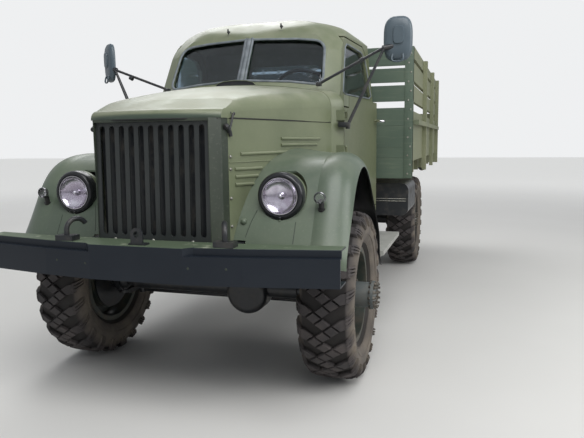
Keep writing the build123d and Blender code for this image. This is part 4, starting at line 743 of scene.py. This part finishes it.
# Painted shade: small dark domes in the seam-shadow colour stand for the bumper's holes.
bumper_hole_shade = Stock()
for x, z in ((-455, 780), (-275, 777), (275, 779), (455, 780)):
    bumper_hole_shade.add(dome(0.006, 0.0015), aimed(*from_ahead("front_bumper", x, z)))
bumper_hole_shade.piece("bumper_hole_shade", "chassis_paint", seam_shadow, 60)


# Underbody and fittings: frame, axles, springs, drive line, tow hooks, lamp brackets and tank in black
# chassis paint. Flat steel straps with bright worn edges hold the tank on its bracket.
paint(("tow_hooks", "chassis_frame", "front_axle", "rear_axle", "leaf_springs", "knuckle_left",
       "knuckle_right", "tie_rod", "propeller_shafts", "fuel_tank", "mirrors", "steering_column", "headlamps",
       "tail_lamps", "engine_block", "transfer_case", "exhaust", "radiator"), chassis_black)
straps = Stock()
low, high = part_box("fuel_tank")
for share in (0.45, 0.52):
    height = low[2] + (high[2] - low[2]) * share
    straps.add(tube([Vector((x, low[1] - 0.002, height)) for x in (low[0] + 0.02, high[0] - 0.02)], 0.003, 6))
straps.piece("tank_straps", "chassis_paint", bolt_steel)


# Grille: one steel pressing with eleven long round-ended slots, in charcoal paint, bolted to the
# radiator shell along its foot.
paint(("grille_panel",), mottled("grille_charcoal", (0.020, 0.024, 0.024), (0.034, 0.038, 0.037), 8,
                                 (30, 0.15, 0.35), detail=5, relief=(260, 0.1, 0.0006)))


# Headlamps: a black pressed ring round a clear fluted lens, with a bright reflector and bulb behind
# it. The bowl behind the ring has the fender's green, and a screw at the foot holds the ring.
LENS_R = 0.0885


def bowl_coat(wire):
    behind = wire.spot().part("Y").rise(-2.342, -2.338)
    return {"Base Color": behind.tint((0.014, 0.015, 0.018), (0.130, 0.155, 0.092)),
            "Roughness": behind * 0.1 + 0.26}


def lens_flutes(wire):
    return {"Normal": (wire.spot().part("X") * 420).maths("SINE").bump(0.25, 0.0008),
            "Roughness": wire.noise(40) * 0.03 + 0.02}


ring_coat = finish("lamp_ring_paint", bowl_coat)
bright = mottled("lamp_chrome", (0.72, 0.70, 0.74), (0.82, 0.80, 0.84), 30, (50, 0.08, 0.06), Metallic=1)
reflector_coat = mottled("lamp_reflector", (0.46, 0.40, 0.48), (0.74, 0.72, 0.77), 9, (60, 0.1, 0.12),
                         detail=3, sharp=(0.35, 0.65), Metallic=1)
lens_glass = finish("lamp_lens", lens_flutes, Base_Color=(0.95, 0.95, 0.98, 1), Transmission_Weight=1,
                    IOR=1.45)
mirror_line = [(-0.004, LENS_R), (-0.018, 0.078), (-0.026, 0.060), (-0.031, 0.040), (-0.033, 0.018)]
rings, chrome, reflectors, lenses, bulbs, bowls = (Stock() for _ in range(6))
for side in (-1, 1):
    spot = aimed(at(side * 600, -430, 1082), (0, -1, 0))
    rings.add(lathe([(-0.052, 0.1195), (-0.030, 0.1200), (-0.012, 0.1185), (0.000, 0.1130), (0.005, 0.1050),
                     (0.004, 0.0975), (-0.004, 0.0925), (-0.030, 0.0925), (-0.052, 0.105)], 64, True), spot)
    rings.add(dome(0.007, 0.006), spot @ Matrix.Translation((0.002, 0, -0.108)))
    chrome.add(lathe([(-0.004, 0.0925), (0.0035, 0.0925), (0.0035, LENS_R), (-0.004, LENS_R)], 64, True),
               spot)
    reflectors.add(lathe(mirror_line + [(x - 0.0012, r) for x, r in mirror_line[::-1]], 48, True), spot)
    lenses.add(lathe([(0.001, LENS_R), (0.006, 0.072), (0.0095, 0.050), (0.0115, 0.026), (0.012, 0.004),
                      (0.0095, 0.004), (0.009, 0.026), (0.007, 0.050), (0.0035, 0.072), (-0.002, LENS_R)],
                     48, True), spot)
    bulbs.add(lathe([(-0.034, 0.020), (-0.024, 0.018), (-0.018, 0.012), (-0.006, 0.011), (-0.001, 0.006)],
                    20), spot)
    bowls.add(lathe([(-0.050, 0.112), (-0.060, 0.1195), (-0.090, 0.1150), (-0.120, 0.1010), (-0.145, 0.080),
                     (-0.165, 0.045), (-0.170, 0.010)], 48), spot)
rings.piece("headlamp_rings", "lamp_body", ring_coat, 50)
chrome.piece("headlamp_bright_rings", "lamp_chrome", bright, 50)
reflectors.piece("headlamp_reflectors", "lamp_chrome", reflector_coat, 50)
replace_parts(lenses.piece("headlamp_glass", "lamp_lens", lens_glass, 50), "headlamp_lenses")
bulbs.piece("headlamp_bulbs", "lamp_chrome", bright, 50)
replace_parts(bowls.piece("headlamp_bowls", "lamp_body", ring_coat, 50), "headlamps")


# Side lamps: small chrome-rimmed lamps with a clear lens, each on a black rubber stalk that is
# screwed to the fender.
LAMP_X = 805
stalk_rubber = mottled("stalk_rubber", (0.012, 0.012, 0.013), (0.030, 0.029, 0.028), 40, (60, 0.2, 0.45))
dull_chrome = mottled("side_lamp_chrome", (0.16, 0.16, 0.17), (0.26, 0.26, 0.27), 30, (50, 0.1, 0.14),
                      Metallic=1)
rims, eyes, stalks = Stock(), Stock(), Stock()
for side in (-1, 1):
    spot = aimed(at(side * LAMP_X, -436, 1078), (0, -1, 0))
    rims.add(lathe([(-0.030, 0.020), (-0.022, 0.027), (-0.006, 0.030), (0.000, 0.0295), (0.002, 0.026),
                    (-0.003, 0.0235), (-0.02, 0.018)], 32, True), spot)
    eyes.add(lathe([(-0.006, 0.0237), (0.001, 0.020), (0.004, 0.012), (0.005, 0.003)], 28), spot)
    stalks.add(tube(smooth_path([at(side * LAMP_X, y, z) for y, z in
                                 ((-410, 1066), (-402, 1050), (-398, 1030), (-388, 1012))], 4), 0.013, 12))
    stalks.add(tube([at(side * LAMP_X, -396, 1024), at(side * LAMP_X, -384, 1004)], 0.020, 14))
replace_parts(rims.piece("side_lamp_rims", "lamp_chrome", dull_chrome, 50), "marker_lamps")
eyes.piece("side_lamp_lenses", "lamp_lens", lens_glass, 50)
stalks.piece("side_lamp_stalks", "lamp_body", stalk_rubber, 50)


# Window glass: flat clear sheets, a little blue, with dust dried on by old rain.
def dusty_glass(wire):
    return {"Roughness": wire.noise(26, 6).rise(0.45, 0.8) * 0.18 + 0.03,
            "Normal": wire.noise(3, 2).bump(0.05, 0.001)}


paint(("cab_windows", "door_glass_left", "door_glass_right"), finish(
    "window_glass", dusty_glass, Base_Color=(0.56, 0.66, 0.74, 1), Transmission_Weight=1, IOR=1.45))


# Screen rubbers: grey-blue moulded strips pressed round the two flat panes, with a wider one over
# the post where they meet in a shallow V.
SCREEN_Y, SCREEN_Z, SCREEN_SWEEP, SCREEN_LEAN = 521, 1640, 0.12, 0.575
CORNER_CUT = 12
# Columns: x and z of the pane's corners
PANE = [(26, 1760), (330, 1744), (505, 1722), (538, 1730), (552, 1760), (546, 1850), (536, 1958), (529, 1984),
        (514, 2005), (490, 2022), (458, 2031), (330, 2044), (26, 2052)]


def screen(x, z):
    """The point of the swept, leaning screen at x and z."""
    return at(x, SCREEN_Y + SCREEN_SWEEP * abs(x) + SCREEN_LEAN * (z - SCREEN_Z), z)


seal_rubber = mottled("seal_rubber", (0.115, 0.135, 0.150), (0.20, 0.225, 0.240), 18, (50, 0.2, 0.5),
                      detail=5, sharp=(0.3, 0.7))
rounded = []
for index, (x, z) in enumerate(PANE):
    for near_x, near_z in (PANE[index - 1], PANE[(index + 1) % len(PANE)]):
        share = min(CORNER_CUT / math.hypot(near_x - x, near_z - z), 0.4)
        rounded.append(screen(x + (near_x - x) * share, z + (near_z - z) * share))
seals = Stock()
seals.both(tube(smooth_path(rounded, 3, True), 0.009, 8, True, 0.6))
seals.add(tube([screen(0, 1752), screen(0, 1900), screen(0, 2056)], 0.016, 8, False, 0.6))
seals.piece("screen_seals", "cab_paint", seal_rubber, 60)


# Cowl vent: a pressed sheet lid, hinged at the rear and propped open at its front edge, with a black
# block under it that is painted shade in its open mouth.
VENT_Z = 1718
edge_line = [(-138, 1723), (-122, 1737), (-78, 1748), (0, 1752), (78, 1748), (122, 1737), (138, 1723)]
lid, vent_shade_block = Stock(), Stock()
for stock, front, rear, lift, thick in ((lid, 482, 566, 0, 3), (vent_shade_block, 488, 560, -4, 40)):
    # Columns: y of the edge, share of its width, share of its rise
    points = [at(x * share, y, VENT_Z + (z - VENT_Z) * rise + lift - drop) for drop in (0, thick)
              for y, share, rise in ((front, 1, 1), (rear, 0.96, 0.15)) for x, z in edge_line]
    count = len(edge_line)
    faces = net(2, count, False, False)
    faces += [[a + 2 * count for a in face[::-1]] for face in faces]
    rim = list(range(count)) + list(range(2 * count - 1, count - 1, -1))
    faces += [[a, b, b + 2 * count, a + 2 * count] for a, b in zip(rim, rim[1:] + rim[:1])]
    stock.add((points, faces))
lid.piece("cowl_vent_lid", "cab_paint", sage)
# Painted shade: a black block fills the vent's mouth under the lid.
vent_shade_block.piece("cowl_vent_shade_block", "chassis_paint", chassis_black)


# Roof pegs: two short black pins with a cross-bar, screwed to the roof over the screen.
pegs = Stock()
for x, y, z in ((-168, 795, 2118), (222, 806, 2134)):
    pegs.add(tube([at(x, y, z - 12), at(x, y - 14, z + 20)], 0.006, 8))
    pegs.add(tube([at(x - 10, y, z + 2), at(x + 10, y, z + 2)], 0.006, 8))
pegs.piece("roof_pegs", "chassis_paint", chassis_black)


# Mirrors: oval pressed heads in blue-grey paint, with a silvered glass on the side that faces back.
# Each hangs on three black rods that are bolted to the cowl's side and the screen's foot.
HALF_X, HALF_Z = 0.090, 0.1375


def oval(levels, half_x, half_z, power, steps=40):
    """A pressed oval: (y, share of the full size) levels from front to back."""
    points = []
    for y, share in levels:
        for step in range(steps):
            turn = FULL_TURN * step / steps
            c, s = (math.copysign(abs(value) ** (2 / power), value)
                    for value in (math.cos(turn), math.sin(turn)))
            points.append((half_x * share * c, y, half_z * share * s))
    return points, net(len(levels), steps, capped=True)


mirror_back = mottled("mirror_back", (0.060, 0.085, 0.105), (0.100, 0.130, 0.150), 14, (40, 0.15, 0.28),
                      detail=5)
silver = mottled("mirror_silver", (0.8, 0.82, 0.82), (0.86, 0.87, 0.87), 20, (60, 0.03, 0.02), Metallic=1)
wire_path = smooth_path([(-0.030, -0.020, -0.095), (-0.034, -0.028, -0.125), (-0.020, -0.028, -0.140),
                         (0.022, -0.028, -0.140), (0.036, -0.028, -0.125), (0.034, -0.020, -0.095)], 4)
shells, glasses, arms = Stock(), Stock(), Stock()
# Columns: side, x and z of the head's middle, its turn outward in degrees
for side, x, z, turn in ((1, 1039, 1979, 0), (-1, 1048, 1930, 40)):
    flip = Matrix.Scale(side, 4, (1, 0, 0))
    head = flip @ Matrix.Translation(at(x, 640, z)) @ Matrix.Rotation(math.radians(turn), 4, "Z")
    shells.add(oval([(-0.021, 0.40), (-0.020, 0.62), (-0.015, 0.84), (-0.006, 0.96), (0.006, 1),
                     (0.014, 1), (0.018, 0.97)], HALF_X, HALF_Z, 3.2), head)
    shells.add(oval([(-0.030, 0.92), (-0.024, 1), (-0.012, 1.08)], 0.034, 0.055, 4),
               head @ Matrix.Translation((0.006, 0, 0.02)))
    shells.add(tube(wire_path, 0.006, 8), head)
    glasses.add(oval([(0.0182, 0.90), (0.0205, 0.90)], HALF_X, HALF_Z, 3.2), head)
    joint = at(x - 78, 604 - 30 * math.sin(math.radians(turn)), z - 52)
    for y in (505, 531):
        arms.add(tube([at(747, y, 1449), joint], 0.0085, 10), flip)
        arms.add(hexagon(0.012, 0.012), flip @ aimed(at(747, y, 1436), (0, 0, -1)))
    arms.add(tube([at(545, 572, 1712), at(560, 573, 1722), joint + Vector((-0.02, -0.002, -0.012)), joint],
                  0.009, 10), flip)
    # Columns: start and end from the joint, radius
    for start, end, radius in (((-0.012, 0, -0.006), (0.048, 0.028, 0.006), 0.016),
                               ((-0.150, -0.012, -0.078), (-0.128, -0.010, -0.066), 0.014)):
        arms.add(tube([joint + Vector(start), joint + Vector(end)], radius, 12), flip)
    arms.add(block(at(529, 554, 1700), at(562, 590, 1724), 0.004), flip)
    arms.add(block(at(690, 482, 1434), at(761, 541, 1465), 0.006), flip)
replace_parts(shells.piece("mirror_heads", "chassis_paint", mirror_back, 50), "mirrors")
glasses.piece("mirror_glasses", "lamp_chrome", silver)
arms.piece("mirror_arms", "chassis_paint", chassis_black)


# Cargo bed: planks on steel uprights, in matt blue-green on the front wall and paler, drier green on
# the sides and tailgate. Bolts and corner strips hold the boards, whose joints show.
FRONT_WALL_REAR = (-0.220, -0.205)
STRIP_LOW, STRIP_HIGH = 1040, 2090


def stretched(wire, scale, detail):
    """Noise drawn out along the grain of the wood."""
    return wire.noise(1, detail, wire.node("Mapping", {}, {"Vector": wire.spot(), "Scale": scale}))


def plank_coat(wire):
    grain = stretched(wire, (5, 3, 60), 6)
    patches = wire.noise(3, 5).rise(0.35, 0.7)
    colour = wire.spot().part("Y").rise(*FRONT_WALL_REAR).tint(
        patches.tint((0.075, 0.110, 0.080), (0.095, 0.132, 0.094)),
        patches.tint((0.170, 0.185, 0.105), (0.215, 0.225, 0.135)))
    return {"Base Color": (grain.rise(0.5, 0.8) * 0.25).tint(colour, (0.26, 0.27, 0.19)),
            "Roughness": patches * 0.12 + 0.55, "Normal": grain.bump(0.25, 0.0015)}


planks = finish("bed_plank_paint", plank_coat)
paint(("bed_front_wall", "bed_sides", "tailgate", "bed_bearers"), planks)
strips, bed_bolts = Stock(), Stock()
for x in (1005, 640):
    for z in range(1075, 2080, 74):
        bed_bolts.both(dome(0.009, 0.006), aimed(at(x + (12 if (z // 74) % 2 else -8), 1709, z), (0, -1, 0)))
strips.both(block(at(968, 1705.5, STRIP_LOW), at(1037, 1709.5, STRIP_HIGH), 0.001))
strips.both(block(at(1033.5, 1706, STRIP_LOW), at(1037, 1745, STRIP_HIGH), 0.001))
for z in (1210, 1295, 1470):
    strips.add(tube([at(-960, 1708.6, z), at(960, 1708.6, z)], 0.0022, 6))
strips.piece("bed_corner_strips", "bed_paint", planks)
bed_bolts.piece("bed_bolts", "bed_paint", bolt_steel)


# Bed floor: bare softwood boards laid lengthwise and nailed to the bearers, worn grey-brown, with
# dark joints between them.
def worn_boards(wire):
    along = stretched(wire, (70, 2.5, 20), 8)
    joint = 1 - (wire.spot().part("X") * 7).maths("FRACT").rise(0, 0.03)
    colour = along.tint((0.20, 0.165, 0.115), (0.34, 0.29, 0.21))
    return {"Base Color": joint.tint(colour, (0.03, 0.025, 0.02)),
            "Roughness": along * 0.2 + 0.6, "Normal": (along - joint).bump(0.5, 0.002)}


paint(("bed_floor",), finish("bed_floor_boards", worn_boards))


# Running boards: plain wooden steps on brackets, grey with dust.
paint(("running_boards",), mottled("running_board_wood", (0.26, 0.26, 0.24), (0.44, 0.44, 0.41), 12,
                                   (30, 0.2, 0.6), detail=6, relief=(70, 0.3, 0.001)))


# Door handles: plated bent levers that stand out near the rear edge of each door, on a square spindle.
DOORS = ((1, "door_left"), (-1, "door_right"))
lever = tube(smooth_path([at(792, 1440, 1496), at(826, 1441, 1497), at(838, 1452, 1497), at(838, 1490, 1494),
                          at(834, 1540, 1490)], 5), 0.0095, 10)
for side, body in DOORS:
    handle = Stock()
    handle.add(lever, Matrix.Scale(side, 4, (1, 0, 0)))
    handle.piece("handle_" + body, "lamp_chrome", bright, body=body)


# Door window channels: rubber strips pressed into the frame of each door's window. The loop is laid
# on the left door's face a little outside the glass and reflected.
MIDDLE_Y, MIDDLE_Z = 1100, 1830
loop = []
# Columns: y and z of the opening's corners
for y, z in ((745, 1665), (840, 1840), (922, 1985), (972, 2012), (1290, 1996), (1376, 1940), (1462, 1675)):
    y, z = MIDDLE_Y + (y - MIDDLE_Y) * 1.02, MIDDLE_Z + (z - MIDDLE_Z) * 1.035
    hit, place, _, _ = nodes["door_left"].ray_cast(at(3000, y, z), Vector((-1, 0, 0)))
    if hit:
        loop.append(place)
path = [a + (b - a) * share for a, b in zip(loop, loop[1:] + loop[:1]) for share in (0.08, 0.5, 0.92)]
for side, body in DOORS:
    channel = Stock()
    channel.add(tube(path, 0.006, 8, True), Matrix.Scale(side, 4, (1, 0, 0)))
    channel.piece("window_channel_" + body, "cab_paint", seal_rubber, 60, body=body)


# Seat: one sprung bench for the whole width, with a cushion and a back in brown leather-cloth, sewn
# in flutes, on a painted sheet box that is bolted to the floor.
FLUTES, FLUTE_DEEP = 14, 0.10


def seat_cloth(wire):
    creases = wire.noise(18, 7)
    return {"Base Color": creases.rise(0.35, 0.7).tint((0.045, 0.030, 0.020), (0.085, 0.060, 0.040)),
            "Roughness": creases * 0.2 + 0.42, "Normal": wire.noise(160, 5).bump(0.35, 0.001)}


def cushion(low, high, upright):
    """A crowned pad with sewn channels between two corners, seen from above or from ahead."""
    wide, deep = FLUTES * 6, 10
    points = []
    size = high - low
    for outside in (1, -1):
        for row in range(deep + 1):
            v = row / deep
            for column in range(wide + 1):
                u = column / wide
                edge = min(1, 6 * min(u, 1 - u)) ** 0.5 * min(1, 5 * min(v, 1 - v)) ** 0.5
                channel = FLUTE_DEEP * (1 - abs(math.sin(math.pi * u * FLUTES)) ** 0.6) if outside > 0 else 0
                bulge = 0.5 + outside * 0.5 * max(edge * (0.97 - channel), 0.12)
                points.append(low + size * Vector((u, 1 - bulge, v) if upright else (u, v, bulge)))
    width = wide + 1
    layer = (deep + 1) * width
    faces = [face for start in (0, layer) for face in net(deep + 1, width, False, False, start=start)]
    rim = [*range(wide), *range(wide, deep * width, width)]
    rim += [*range(deep * width + wide, deep * width, -1), *range(deep * width, 0, -width)]
    faces += [[a, b, b + layer, a + layer] for a, b in zip(rim, rim[1:] + rim[:1])]
    pad = Stock()
    pad.add((points, faces))
    return pad


cloth = finish("seat_leathercloth", seat_cloth)
pad = cushion(at(-600, 1000, 1180), at(600, 1469, 1330), False).piece(
    "seat_cushion", "seat_cover", cloth, 60, 1)
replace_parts(pad, "bench_seat")
back = cushion(at(-600, 1470, 1180), at(600, 1570, 1730), True).piece(
    "seat_back", "seat_cover", cloth, 60, 1)
seat_box = Stock()
seat_box.add(block(at(-570, 1040, 940), at(570, 1570, 1178), 0.006))
seat_box.piece("seat_box", "cab_paint", sage)


# Steering wheel: a black moulded rim and spokes on the column's head.
paint(("steering_wheel",), mottled("steering_black", (0.012, 0.012, 0.013), (0.022, 0.021, 0.020), 25,
                                   (40, 0.1, 0.25)))
